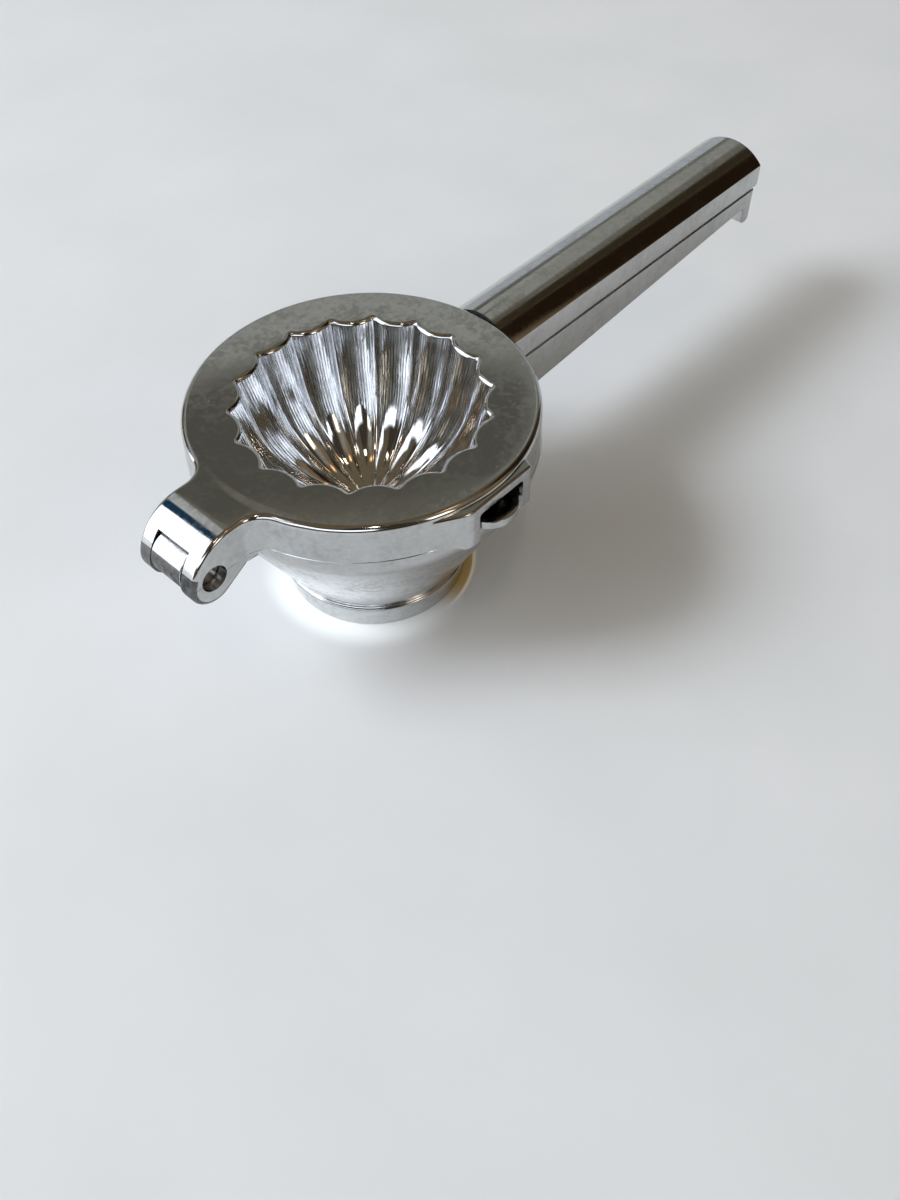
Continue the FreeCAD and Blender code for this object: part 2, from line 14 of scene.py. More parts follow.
import bmesh
import bpy
import numpy as np
from mathutils import Matrix, Vector
from mathutils.geometry import tessellate_polygon


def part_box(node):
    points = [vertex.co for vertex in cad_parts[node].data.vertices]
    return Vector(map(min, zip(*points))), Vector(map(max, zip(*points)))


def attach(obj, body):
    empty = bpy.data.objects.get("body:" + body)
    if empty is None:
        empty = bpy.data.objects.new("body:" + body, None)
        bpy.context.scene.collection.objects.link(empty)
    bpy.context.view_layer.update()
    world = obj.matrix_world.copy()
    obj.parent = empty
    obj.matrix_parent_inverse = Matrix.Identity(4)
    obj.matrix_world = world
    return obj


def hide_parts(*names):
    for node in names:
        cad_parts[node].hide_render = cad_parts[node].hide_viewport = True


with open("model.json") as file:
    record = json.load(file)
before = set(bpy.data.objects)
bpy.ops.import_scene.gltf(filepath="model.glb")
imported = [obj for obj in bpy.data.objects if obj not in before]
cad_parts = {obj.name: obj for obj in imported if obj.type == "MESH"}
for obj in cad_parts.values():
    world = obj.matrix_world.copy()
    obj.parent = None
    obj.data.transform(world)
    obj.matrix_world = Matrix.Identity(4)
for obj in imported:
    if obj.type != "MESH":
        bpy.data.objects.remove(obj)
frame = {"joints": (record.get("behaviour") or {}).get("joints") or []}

bpy.context.view_layer.update()

# %% [markdown]
# ## Measures from the frame
#
# Wherever the solid pieces already know a size, the lesson asks them. The rest are the roundings
# and small forms that only the finer skins have.

# %% Read sizes from the solid pieces
MM = 0.001
lid_low, lid_high = (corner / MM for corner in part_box("press_lid"))
bowl_low, bowl_high = (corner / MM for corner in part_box("juice_bowl"))
pin_low, pin_high = (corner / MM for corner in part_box("hinge_pin"))
PIN_X, PIN_Z = (value / MM for value in frame["joints"][0]["pos_m"][::2])
PIN_RADIUS = (pin_high.x - pin_low.x) / 2
PIN_HALF = pin_high.y
SEAM_RADIUS = lid_high.y
SEAM_Z = PIN_Z
HANDLE_END = lid_high.x
CROWN_TOP = lid_high.z
VISOR_FRONT = lid_low.y
LOWER_END = bowl_high.x
LIP_TIP = bowl_low.y
print(f"pin at x {PIN_X:.1f}, z {PIN_Z:.1f}, radius {PIN_RADIUS:.2f}")
print(f"seam radius {SEAM_RADIUS:.2f}, seam at z {SEAM_Z:.1f}")
print(f"handles end at {HANDLE_END:.1f} and {LOWER_END:.1f}; lip tip at {LIP_TIP:.1f}")

# %% Sizes that the lid and the bowl share
TOP_Z = SEAM_Z + 10.0
RIM_ROUND = 1.1
DISC_RIM_EXTRA = 0.5
SKIRT_DRAFT = 0.3
SKIRT_INSIDE = SEAM_RADIUS - 2.4
PLATE_UNDER = TOP_Z - 2.6
SEAM_BEVEL = 0.18
EAR_HALF = 9.3
SLOT_HALF = 5.2
HANDLE_HALF = 10.3
HANDLE_WALL = 2.0
UPPER_BOTTOM = SEAM_Z - 0.65
LOWER_TOP = SEAM_Z - 0.95
ROUND_STEPS = 6
print(f"flat top at z {TOP_Z:.1f}, skirt wall {SEAM_RADIUS - SKIRT_INSIDE:.1f}")

# %% [markdown]
# ## Tools for skins
#
# A casting's skin is easiest to describe as rows of points: each row is one step of a rounding,
# one ring of the bowl, or one slice of a handle. `Shell` collects such rows and joins neighbours
# with quads. Flat areas with a hole in them, such as the lid's top, are filled with triangles,
# which stay perfectly flat.

# %% A skin in the making
FINISHES = {name: bpy.data.materials.new(name) for name in
            ("mirror_chrome", "cast_chrome", "fluted_chrome", "rough_chrome_painted_shade", "pin_steel")}
MIRROR, CAST, FLUTED, ROUGH_PAINTED_SHADE, STEEL = range(len(FINISHES))
WELD = 0.000002
print("finishes to come:", ", ".join(FINISHES))


class Shell:
    """Points in millimetres, the faces between them, and the finish of each face."""

    def __init__(self):
        self.points, self.faces, self.finishes = [], [], []

    def row(self, points):
        first = len(self.points)
        self.points.extend(tuple(map(float, point)) for point in points)
        return list(range(first, len(self.points)))

    def face(self, corners, finish):
        self.faces.append(tuple(corners))
        self.finishes.append(finish)

    def skin(self, rows, finish, around=True):
        for one, other in zip(rows, rows[1:]):
            count = len(one)
            for k in range(count if around else count - 1):
                after = (k + 1) % count
                self.face((one[k], one[after], other[after], other[k]), finish)

    def close(self, row, tip, finish):
        apex = self.row([tip])[0]
        for k, corner in enumerate(row):
            self.face((corner, row[(k + 1) % len(row)], apex), finish)

    def fill(self, loops, finish):
        """A flat face inside the first loop and outside the others."""
        order = [index for loop in loops for index in loop]
        places = [[Vector(self.points[index]) for index in loop] for loop in loops]
        for triangle in tessellate_polygon(places):
            self.face([order[corner] for corner in triangle], finish)

    def piece(self, name):
        """The skin as an object in metres, welded, with its faces turned outwards."""
        mesh = bpy.data.meshes.new(name)
        mesh.from_pydata([Vector(point) * MM for point in self.points], [], self.faces)
        mesh.polygons.foreach_set("material_index", self.finishes)
        for finish in FINISHES.values():
            mesh.materials.append(finish)
        work = bmesh.new()
        work.from_mesh(mesh)
        bmesh.ops.remove_doubles(work, verts=work.verts, dist=WELD)
        bmesh.ops.dissolve_degenerate(work, edges=work.edges, dist=WELD)
        bmesh.ops.recalc_face_normals(work, faces=work.faces)
        open_edges = sum(not edge.is_manifold for edge in work.edges)
        work.to_mesh(mesh)
        work.free()
        piece = bpy.data.objects.new(name, mesh)
        bpy.context.scene.collection.objects.link(piece)
        print(f"{name}: {len(mesh.polygons)} faces, {open_edges} open edges")
        return piece


# %% [markdown]
# Two more helpers cover most of a casting. `prism` draws an outline out along one axis and rounds
# its long edges, like a bar that went through a tumbler. `turned` spins a section about an
# upright axis, like a lathe. `cut` and `join` then work on closed skins, as a mill and a weld
# would.

# %% Outlines, prisms and turned forms
def across(a, b, c):
    return a, c, b


def along(a, b, c):
    return c, a, b


def upward(a, b, c):
    return a, b, c


def arc(centre, radius, start, end, steps):
    """Points of an arc, with its angles in degrees."""
    turns = np.radians(np.linspace(start, end, steps + 1))
    return [(centre[0] + radius * math.cos(t), centre[1] + radius * math.sin(t)) for t in turns]


def outward(points):
    """Outward directions at the corners of an anticlockwise outline, longer at sharp corners."""
    spots = np.array(points, float)
    edges = np.roll(spots, -1, axis=0) - spots
    sides = np.stack([edges[:, 1], -edges[:, 0]], axis=1)
    sides /= np.linalg.norm(sides, axis=1, keepdims=True)
    before = np.roll(sides, 1, axis=0)
    share = 1 + np.sum(sides * before, axis=1, keepdims=True)
    return (sides + before) / np.maximum(share, 0.5)


def quarter(steps=ROUND_STEPS):
    """Sine and cosine at the steps of a quarter turn."""
    return [(math.sin(t), math.cos(t)) for t in np.radians(np.linspace(0, 90, steps + 1))]


def prism(name, points, low, high, rounding, finish, place=across):
    """A bar with the given anticlockwise outline from low to high, its long edges rounded."""
    shell = Shell()
    spots, ways = np.array(points, float), outward(points)
    steps = [(0, 0)]
    if rounding:
        steps = [(rounding * (1 - s), rounding * (1 - c)) for s, c in quarter()]
    levels = [(inset, low + drop) for inset, drop in steps]
    levels += [(inset, high - drop) for inset, drop in reversed(steps)]
    rows = [shell.row([place(a, b, level) for a, b in spots - ways * inset])
            for inset, level in levels]
    shell.skin(rows, finish)
    shell.fill([rows[0]], finish)
    shell.fill([rows[-1]], finish)
    return shell.piece(name)


def turned(name, section, finish, steps=288, centre=(0, 0)):
    """A section of (radius, height) points spun about an upright axis; it starts and ends on it."""
    shell = Shell()
    east, north = centre
    turns = np.linspace(0, 2 * math.pi, steps, endpoint=False)
    rows = []
    for radius, height in section[1:-1]:
        rows.append(shell.row([(east + radius * math.cos(t), north + radius * math.sin(t), height)
                               for t in turns]))
    shell.skin(rows, finish)
    shell.close(rows[0], (*centre, section[0][1]), finish)
    shell.close(rows[-1], (*centre, section[-1][1]), finish)
    return shell.piece(name)


print("a quarter arc in one step:", np.round(arc((0, 0), 1, 0, 90, 1), 2).tolist())

# %% Cut and join
FEWEST_FACES = 4


def combine(piece, tool, operation):
    """Cuts, joins or keeps the common part of two closed skins, and uses the tool up.

    An exact Boolean can fail and leave an empty skin, so that stops the script.
    """
    step = piece.modifiers.new(operation, "BOOLEAN")
    step.operation, step.solver, step.object = operation, "EXACT", tool
    bpy.context.view_layer.update()
    seen = piece.evaluated_get(bpy.context.evaluated_depsgraph_get())
    result = bpy.data.meshes.new_from_object(seen)
    piece.modifiers.clear()
    if len(result.polygons) < FEWEST_FACES:
        raise RuntimeError(f"{operation} with {tool.name} left nothing of {piece.name}")
    piece.data = result
    bpy.data.objects.remove(tool)
    return piece


def cut(piece, tool):
    return combine(piece, tool, "DIFFERENCE")


def join(piece, tool):
    return combine(piece, tool, "UNION")


print(f"cuts and joins stop the script if fewer than {FEWEST_FACES} faces are left")

# %% [markdown]
# ## The fluted press cone
#
# Seen from above, the press cone's mouth is a ring of arcs that bulge inwards and meet in creases
# that point outwards. Lower down the ring shrinks, first along a straight taper and then round a
# ball. One formula gives the distance from the axis at every turn, so the hollow and the outside
# of the cone share it. The lip where the flat top rolls over into the flutes is a rounding of
# constant radius: each of its steps is the mouth's outline grown by a little, which also softens
# the creases' points as it does on the real casting.

# %% Flute sections
FLUTES = 18
STEPS_PER_FLUTE = 24
FINE_STEPS = 8
MOUTH_CREASE = SEAM_RADIUS - 11.6
FLUTE_DEPTH = 2.2
RIDGE_SHARE = 1 - FLUTE_DEPTH / MOUTH_CREASE
CONE_DEPTH = 33.5
CONE_LEAN = math.radians(15)
CONE_WALL = 2.2
LIP_ROUND = 0.9
CREASE_ROUND = 0.6
SMALLEST_RING = 0.4
TAPER_RINGS = 10
BALL_RINGS = 36
LAST_RING_ANGLE = 87
TURNS = np.linspace(0, 2 * math.pi, FLUTES * STEPS_PER_FLUTE, endpoint=False)
FINE_TURNS = np.linspace(0, 2 * math.pi, len(TURNS) * FINE_STEPS, endpoint=False)
BALL = ((MOUTH_CREASE - CONE_DEPTH * math.tan(CONE_LEAN))
        / (math.cos(CONE_LEAN) - (1 - math.sin(CONE_LEAN)) * math.tan(CONE_LEAN)))
BALL_DEPTH = CONE_DEPTH - BALL


def crease_radius(depth, wall=0.0):
    """Distance of the creases from the axis at a depth below the lid's top."""
    outer = BALL + wall
    taper_end = BALL_DEPTH + outer * math.sin(CONE_LEAN)
    if depth <= taper_end:
        return outer * math.cos(CONE_LEAN) + (taper_end - depth) * math.tan(CONE_LEAN)
    return math.sqrt(max(outer ** 2 - (depth - BALL_DEPTH) ** 2, 0))


def flute_section(crease, turns=TURNS):
    """Distance from the axis at each turn, for arcs that bulge inwards between the creases."""
    crest, half = crease * RIDGE_SHARE, math.pi / FLUTES
    centre = (crease ** 2 - crest ** 2) / (2 * (crease * math.cos(half) - crest))
    local = turns % (2 * half) - half
    return centre * np.cos(local) - np.sqrt((centre - crest) ** 2 - (centre * np.sin(local)) ** 2)


def soft_section(crease, growth=0.0):
    """A flute section with softly rounded creases, grown outwards by one distance all round."""
    growth += CREASE_ROUND
    reach = flute_section(max(crease - CREASE_ROUND, SMALLEST_RING), FINE_TURNS)
    turn = TURNS[:, None] - FINE_TURNS[None, :]
    aside, ahead = reach * np.sin(turn), reach * np.cos(turn)
    near = (np.abs(aside) < growth) & (ahead > 0)
    edge = ahead + np.sqrt(np.maximum(growth ** 2 - aside ** 2, 0))
    return np.where(near, edge, 0).max(axis=1)


def flute_row(shell, section, depth):
    return shell.row([(r * math.cos(t), r * math.sin(t), TOP_Z - depth)
                      for r, t in zip(section, TURNS)])


def cone_depths(wall, start):
    """Depths for the rows of the cone, finer round its ball end."""
    outer = BALL + wall
    taper_end = BALL_DEPTH + outer * math.sin(CONE_LEAN)
    angles = np.linspace(math.degrees(CONE_LEAN), LAST_RING_ANGLE, BALL_RINGS)
    ball = [BALL_DEPTH + outer * math.sin(math.radians(angle)) for angle in angles]
    return list(np.linspace(start, taper_end, TAPER_RINGS)[:-1]) + ball


print(f"ball end of radius {BALL:.2f} at depth {BALL_DEPTH:.2f}")

# %% [markdown]
# ## The lid's plan
#
# Disc and neck share one outline: most of a circle, then hollow curves that lead into the two
# straight sides of the fork. The rim's rounding and the skirt follow this outline all the way,
# which is why the neck grows out of the disc with no line between them.

# %% Outline of disc and neck
NECK_ROUND = 6.0
NECK_STEPS = 14
DISC_STEPS = 360
NECK_CENTRE = (-math.sqrt((SEAM_RADIUS + NECK_ROUND) ** 2 - (EAR_HALF + NECK_ROUND) ** 2),
               EAR_HALF + NECK_ROUND)
FORK_START = NECK_CENTRE[0]
FOLD_X = -41.0
EAR_LOW_RADIUS = 5.8
EAR_LOW_CENTRE = (-54.48, 43.79)
fold_gap = math.hypot(FOLD_X - EAR_LOW_CENTRE[0], SEAM_Z - EAR_LOW_CENTRE[1])
UNDER_TURN = (math.atan2(SEAM_Z - EAR_LOW_CENTRE[1], FOLD_X - EAR_LOW_CENTRE[0])
              + math.asin(EAR_LOW_RADIUS / fold_gap))


def under_z(x):
    """Height of the fork's straight underside, which runs out at the seam."""
    return min(SEAM_Z, SEAM_Z + (x - FOLD_X) * math.tan(UNDER_TURN))


def neck_half():
    """The hollow curve on one side: points, outward directions, and how much of each is disc."""
    meet = math.degrees(math.atan2(-NECK_CENTRE[1], -NECK_CENTRE[0]))
    fold = -math.degrees(math.acos((FOLD_X - NECK_CENTRE[0]) / NECK_ROUND))
    turns = sorted(list(np.linspace(-90, meet, NECK_STEPS)) + [fold])
    half = []
    for turn in turns:
        way = (-math.cos(math.radians(turn)), -math.sin(math.radians(turn)))
        point = (NECK_CENTRE[0] - NECK_ROUND * way[0], NECK_CENTRE[1] - NECK_ROUND * way[1])
        half.append((point, way, (turn + 90) / (meet + 90)))
    return half, turns.index(fold)


def lid_outline():
    """Disc and neck, from one side of the fork round the disc to the other side."""
    near, fold = neck_half()
    edge = math.degrees(math.atan2(near[-1][0][1], near[-1][0][0]))
    disc = []
    for turn in np.radians(np.linspace(edge, -edge, DISC_STEPS)[1:-1]):
        way = (math.cos(turn), math.sin(turn))
        disc.append(((SEAM_RADIUS * way[0], SEAM_RADIUS * way[1]), way, 1.0))
    far = [((x, -y), (way_x, -way_y), share) for (x, y), (way_x, way_y), share in reversed(near)]
    return near + disc + far, fold


print(f"fork starts at x {FORK_START:.1f}; its underside leaves the seam at x {FOLD_X:.1f}")

# %% [markdown]
# ## The lid's skin
#
# The rows run like this: up the skirt from a fine bevel at the seam, over the rim's rounding,
# across the flat top to the mouth's lip, down the flutes to the pole, and on the underside back
# up the outside of the cone, along the plate and down the inside of the skirt. The fork is one
# more strip that starts on the neck's end and wraps round its side view.

# %% Side view of the fork
CREST_RADIUS = 13.0
CREST_CENTRE = (PIN_X + 6.7, TOP_Z - CREST_RADIUS)
CREST_STEPS = 28
EAR_STEPS = 20
BUFFED_STRIPS = 24
FORK_FLATS = np.linspace(-(EAR_HALF - RIM_ROUND), EAR_HALF - RIM_ROUND, 7)


def fork_side():
    """Side view of the fork from the neck's top over the crest to its underside."""
    end = math.degrees(math.asin((SEAM_Z - CREST_CENTRE[1]) / CREST_RADIUS))
    points = [(FORK_START, TOP_Z)] + arc(CREST_CENTRE, CREST_RADIUS, 90, 180 - end, CREST_STEPS)
    low_start = math.degrees(math.atan2(SEAM_Z - EAR_LOW_CENTRE[1],
                                        points[-1][0] - EAR_LOW_CENTRE[0]))
    low_end = 360 + math.degrees(UNDER_TURN) - 90
    low = arc(EAR_LOW_CENTRE, EAR_LOW_RADIUS, low_start, low_end, EAR_STEPS)
    points += low[1:] + [(FORK_START, under_z(FORK_START))]
    spots = np.array(points)
    edges = np.diff(spots, axis=0)
    sides = np.stack([edges[:, 1], -edges[:, 0]], axis=1)
    sides /= np.linalg.norm(sides, axis=1, keepdims=True)
    ways = np.zeros_like(spots)
    ways[1:-1] = sides[1:] + sides[:-1]
    ways[1:-1] /= 1 + np.sum(sides[1:] * sides[:-1], axis=1, keepdims=True)
    ways[0], ways[-1] = (0, 1), (0, -1)
    return spots, ways


print(f"crest of radius {CREST_RADIUS:.1f} about x {CREST_CENTRE[0]:.1f}, z {CREST_CENTRE[1]:.1f}")


# %% Skirt and rim
def lid_walls(shell):
    """Rows up the skirt and over the rim, and the place in a row where the underside folds."""
    outline, fold = lid_outline()
    points = np.array([point for point, _, _ in outline])
    ways = np.array([way for _, way, _ in outline])
    disc_share = np.array([share for _, _, share in outline])
    bottom = np.array([under_z(x) for x in points[:, 0]])
    bevel = SEAM_BEVEL + (RIM_ROUND - SEAM_BEVEL) * (1 - disc_share)
    draft = SKIRT_DRAFT * disc_share
    rim_round = RIM_ROUND + DISC_RIM_EXTRA * disc_share
    wall_top = TOP_Z - rim_round

    def wall_row(inset, height):
        spots = points - ways * np.reshape(inset, (-1, 1))
        return shell.row(np.column_stack([spots, np.broadcast_to(height, len(spots))]))

    wall = [wall_row(bevel * (1 - s), bottom + bevel * (1 - c)) for s, c in quarter()]
    for share in (1 / 3, 2 / 3):
        wall.append(wall_row(draft * share, bottom + bevel + (wall_top - bottom - bevel) * share))
    rim = [wall_row(draft + rim_round * (1 - c), wall_top + rim_round * s) for s, c in quarter()]
    shell.skin(wall + rim[:1], CAST, around=False)
    shell.skin(rim, MIRROR, around=False)
    return wall, rim, fold


lid_shell = Shell()
wall, rim, fold = lid_walls(lid_shell)
print(f"skirt and rim: {len(lid_shell.faces)} faces")


# %% Fork
def fork_strips(shell, wall):
    """Strips across the fork, all round its side view, with edges rounded like the rim."""
    strips = []
    for spot, way in zip(*fork_side()):
        near_side = [(EAR_HALF - RIM_ROUND * (1 - s), spot - way * RIM_ROUND * (1 - c))
                     for s, c in quarter()]
        section = [(-y, place) for y, place in reversed(near_side)]
        section += [(y, spot) for y in FORK_FLATS[1:-1]] + near_side
        strips.append(shell.row([(place[0], y, place[1]) for y, place in section]))
    shell.skin(strips[:BUFFED_STRIPS + 1], MIRROR, around=False)
    # Past the crest, under the ears, the strips take the rough finish, whose dark colour is painted
    # shade
    shell.skin(strips[BUFFED_STRIPS:], ROUGH_PAINTED_SHADE, around=False)
    for end, side in ((0, -1), (-1, 0)):
        shell.fill([[strip[end] for strip in strips] + [wall[-2][side], wall[-1][side]]], CAST)
    return strips


strips = fork_strips(lid_shell, wall)
print(f"with the fork: {len(lid_shell.faces)} faces")

# %% Flat top, lip and flutes
LIP_STEPS = 8
FORK_FLAT = slice(ROUND_STEPS + 1, -ROUND_STEPS - 1)


def lid_top(shell, rim, neck_edge):
    """The flat top with the mouth in it, and the fluted hollow down to the pole."""
    lip = []
    for s, c in quarter(LIP_STEPS):
        depth = LIP_ROUND * (1 - c)
        section = soft_section(crease_radius(depth), LIP_ROUND * (1 - s))
        lip.append(flute_row(shell, section, depth))
    shell.fill([rim[-1] + neck_edge, lip[0]], MIRROR)
    shell.skin(lip, MIRROR)
    hollow = [flute_row(shell, soft_section(crease_radius(depth)), depth)
              for depth in cone_depths(0.0, LIP_ROUND)]
    shell.skin(hollow, FLUTED)
    shell.close(hollow[-1], (0, 0, TOP_Z - CONE_DEPTH), FLUTED)


lid_top(lid_shell, rim, strips[0][FORK_FLAT])
print(f"with the top and the flutes: {len(lid_shell.faces)} faces")

# %% Underside
PLATE_CORNER = 1.5


def lid_underside(shell, seam, fold, neck_edge):
    """Seam ring, inside of the skirt, plate, and outside of the cone."""
    inner = []
    corner = (SKIRT_INSIDE - PLATE_CORNER, PLATE_UNDER - PLATE_CORNER)
    for radius, height in ([(SKIRT_INSIDE, SEAM_Z), (SKIRT_INSIDE, PLATE_UNDER - 2 * PLATE_CORNER)]
                           + arc(corner, PLATE_CORNER, 0, 90, 6)):
        inner.append(flute_row(shell, np.full(len(TURNS), radius), TOP_Z - height))
    depths = cone_depths(CONE_WALL, TOP_Z - PLATE_UNDER)
    cone = [flute_row(shell, flute_section(crease_radius(depth, CONE_WALL)), depth)
            for depth in depths]
    shell.skin(inner + cone[:1], CAST)
    shell.skin(cone, CAST)
    shell.close(cone[-1], (0, 0, TOP_Z - CONE_DEPTH - CONE_WALL), CAST)
    shell.fill([seam[fold:len(seam) - fold], inner[0]], CAST)
    shell.fill([seam[:fold + 1] + seam[len(seam) - fold - 1:] + neck_edge], CAST)


lid_underside(lid_shell, wall[0], fold, strips[-1][FORK_FLAT])
lid = lid_shell.piece("press_lid_casting")

# %% [markdown]
# ## Upper handle
#
# The handle is an arched channel. It could be grown out of the lid's own rows, but it is much
# simpler as one long bar with rounded edges that is joined to the lid. Before that, a second bar
# hollows it out, and a tool that is wider at the top takes away what would lie on the disc: that
# leaves the small V-shaped groove between the disc's rim and the crown.

# %% Upper handle
CROWN_RADIUS = 14.0
CROWN_AXIS = CROWN_TOP - CROWN_RADIUS
EDGE_ROUND = 0.8
BOTTOM_ROUND = 0.65
CHANNEL_ROUND = 1.0
HANDLE_ROOT = 38.0
CHANNEL_START = SEAM_RADIUS + 1.0


def crown_outline(half, bottom, radius, edge, corner):
    """Section of the arched handle, anticlockwise from its bottom left corner."""
    edge_y = half - edge
    edge_z = CROWN_AXIS + math.sqrt((radius - edge) ** 2 - edge_y ** 2)
    turn = math.degrees(math.atan2(edge_z - CROWN_AXIS, edge_y))
    low = half - corner
    return (arc((-low, bottom + corner), corner, 180, 270, 4)
            + arc((low, bottom + corner), corner, -90, 0, 4)
            + arc((edge_y, edge_z), edge, 0, turn, 6)[:-1]
            + arc((0, CROWN_AXIS), radius, turn, 180 - turn, 40)
            + arc((-edge_y, edge_z), edge, 180 - turn, 180, 6)[1:])


bar_outline = crown_outline(HANDLE_HALF, UPPER_BOTTOM, CROWN_RADIUS, EDGE_ROUND, BOTTOM_ROUND)
upper_handle = prism("upper_handle", bar_outline, HANDLE_ROOT, HANDLE_END, 0.6, MIRROR, along)
channel_outline = crown_outline(HANDLE_HALF - HANDLE_WALL, UPPER_BOTTOM - 2,
                                CROWN_RADIUS - HANDLE_WALL, CHANNEL_ROUND, CHANNEL_ROUND)
# The channel's inside takes the rough finish, dark as painted shade
channel = prism("channel", channel_outline, CHANNEL_START, HANDLE_END - HANDLE_WALL, 0.9, ROUGH_PAINTED_SHADE,
                along)
bevel_outline = [(HANDLE_END - 1.6, UPPER_BOTTOM - 0.2), (HANDLE_END + 0.5, UPPER_BOTTOM - 0.2),
                 (HANDLE_END + 0.5, UPPER_BOTTOM + 1.9)]
end_bevel = prism("end_bevel", bevel_outline, -12.0, 12.0, 0, MIRROR)

# %% Clear the disc and the bowl
CLEAR_LOW, CLEAR_HIGH = 30, TOP_Z + 1.5
BOWL_CLEAR = SEAM_RADIUS + 0.3
SKIRT_BITE = SEAM_RADIUS - 1.7
UNDER_SEAM = SEAM_Z - 0.02


def disc_room(name, step_z, low_radius, high_radius, finish):
    """Clears the bowl's side and the disc from a form that grows out of the lid's skirt."""
    return turned(name, [(0, CLEAR_LOW), (BOWL_CLEAR, CLEAR_LOW), (BOWL_CLEAR, UNDER_SEAM),
                         (SKIRT_BITE, UNDER_SEAM), (SKIRT_BITE, step_z), (low_radius, step_z),
                         (high_radius, CLEAR_HIGH), (0, CLEAR_HIGH)], finish)


handle_room = disc_room("handle_room", TOP_Z - 2.3, SEAM_RADIUS - 0.4, SEAM_RADIUS - 0.2, ROUGH_PAINTED_SHADE)
for tool in (channel, end_bevel, handle_room):
    cut(upper_handle, tool)
join(lid, upper_handle)

# %% [markdown]
# ### Visor
#
# A small cover stands over the spout and keeps juice from splashing up when the lid comes down.
# On the real casting it is part of the skirt. It could be pulled out of the skirt's own faces,
# but its left side flares and its right side is square, so it is easier as a bar of its own,
# drawn from above. The same kind of tool as for the handle keeps it off the disc, and its opening
# is cut after the join, so that it goes through the visor and the skirt in one stroke.

# %% Visor over the spout
VISOR_HALF = 10.4
VISOR_TOP = TOP_Z - 1.45
VISOR_CORNER = 1.0
LEG_BOTTOM = SEAM_Z - 2.6
OPENING_HALF = 7.2
OPENING_TOP = SEAM_Z + 6.3
OPENING_CORNER = 1.0
APRON_END = (-17.3, -38.45)
left_flare = [(-17.6, -37.5), APRON_END, (-15.2, -39.75), (-12.8, -41.25), (-11.2, -42.2),
              (-10.0, -42.75), (-8.8, VISOR_FRONT)]
right_corner = [(VISOR_HALF - VISOR_CORNER + x, VISOR_FRONT + VISOR_CORNER + y)
                for x, y in arc((0, 0), VISOR_CORNER, -90, -12, 5)]
visor_outline = left_flare + right_corner + [(VISOR_HALF + 2.0, VISOR_FRONT + 5.0)]
visor = prism("visor", visor_outline, LEG_BOTTOM, VISOR_TOP, 0.7, CAST, upward)

# The apron's lower edge rises from the left leg to the seam
apron_curve = [(-9.9, LEG_BOTTOM), (-11.0, LEG_BOTTOM + 0.35), (-12.0, LEG_BOTTOM + 1.1),
               (-13.0, LEG_BOTTOM + 1.75), (-14.4, LEG_BOTTOM + 2.15), (-17.4, UNDER_SEAM),
               (-20.0, UNDER_SEAM)]
apron_outline = [(-20.0, LEG_BOTTOM - 2), (-9.9, LEG_BOTTOM - 2)] + apron_curve
cut(visor, prism("apron_room", apron_outline, -46.0, -34.0, 0, CAST))

opening_side = [(OPENING_HALF, SEAM_Z - 4.0)]
opening_side += arc((OPENING_HALF - OPENING_CORNER, OPENING_TOP - OPENING_CORNER),
                    OPENING_CORNER, 0, 90, 6)
opening = prism("opening", opening_side + [(-x, z) for x, z in reversed(opening_side)],
                VISOR_FRONT - 3, VISOR_FRONT + 7, 0, CAST)
cut(visor, disc_room("visor_room", TOP_Z - 1.0, SEAM_RADIUS - 0.62, SEAM_RADIUS + 1.1, CAST))
join(lid, visor)
cut(lid, opening)

# %% [markdown]
# ### Slot and bore of the fork
#
# The bowl's knuckle turns between the fork's two ears, and the pin goes through all three. A slot
# could be left open while the skin is built, but then every row would have to end at it. Cutting
# it afterwards, as a mill does in a workshop, keeps the rows whole.

# %% Fork slot and pin bore
WEB_EDGE = PIN_X - 1.9
KNUCKLE_ROOM = 6.3
SLOT_END = -41.6
SLOT_FAR = 80
BORE_PLAY = 0.1
web_turn = math.degrees(math.acos((WEB_EDGE - PIN_X) / KNUCKLE_ROOM))
slot_outline = ([(WEB_EDGE, SLOT_FAR)] + arc((PIN_X, PIN_Z), KNUCKLE_ROOM, web_turn, 0, 16)
                + [(SLOT_END, SEAM_Z + 0.02), (SLOT_END, 0), (-SLOT_FAR, 0),
                   (-SLOT_FAR, SLOT_FAR)])
# The slot's faces take the rough finish, dark as painted shade
slot = prism("slot", slot_outline[::-1], -SLOT_HALF, SLOT_HALF, 0, ROUGH_PAINTED_SHADE)
bore_outline = arc((PIN_X, PIN_Z), PIN_RADIUS + BORE_PLAY, 0, 360, 48)[:-1]
for tool in (slot, prism("bore", bore_outline, -12, 12, 0, CAST)):
    cut(lid, tool)

# %% [markdown]
# ## The juice bowl
#
# The bowl was cast in one with its foot, so its skin is a single section turned like pottery.
# Rows of quads pulled up by hand would do as well, but a section keeps the foot, the side and the
# rim truly round, which chrome would show at once.

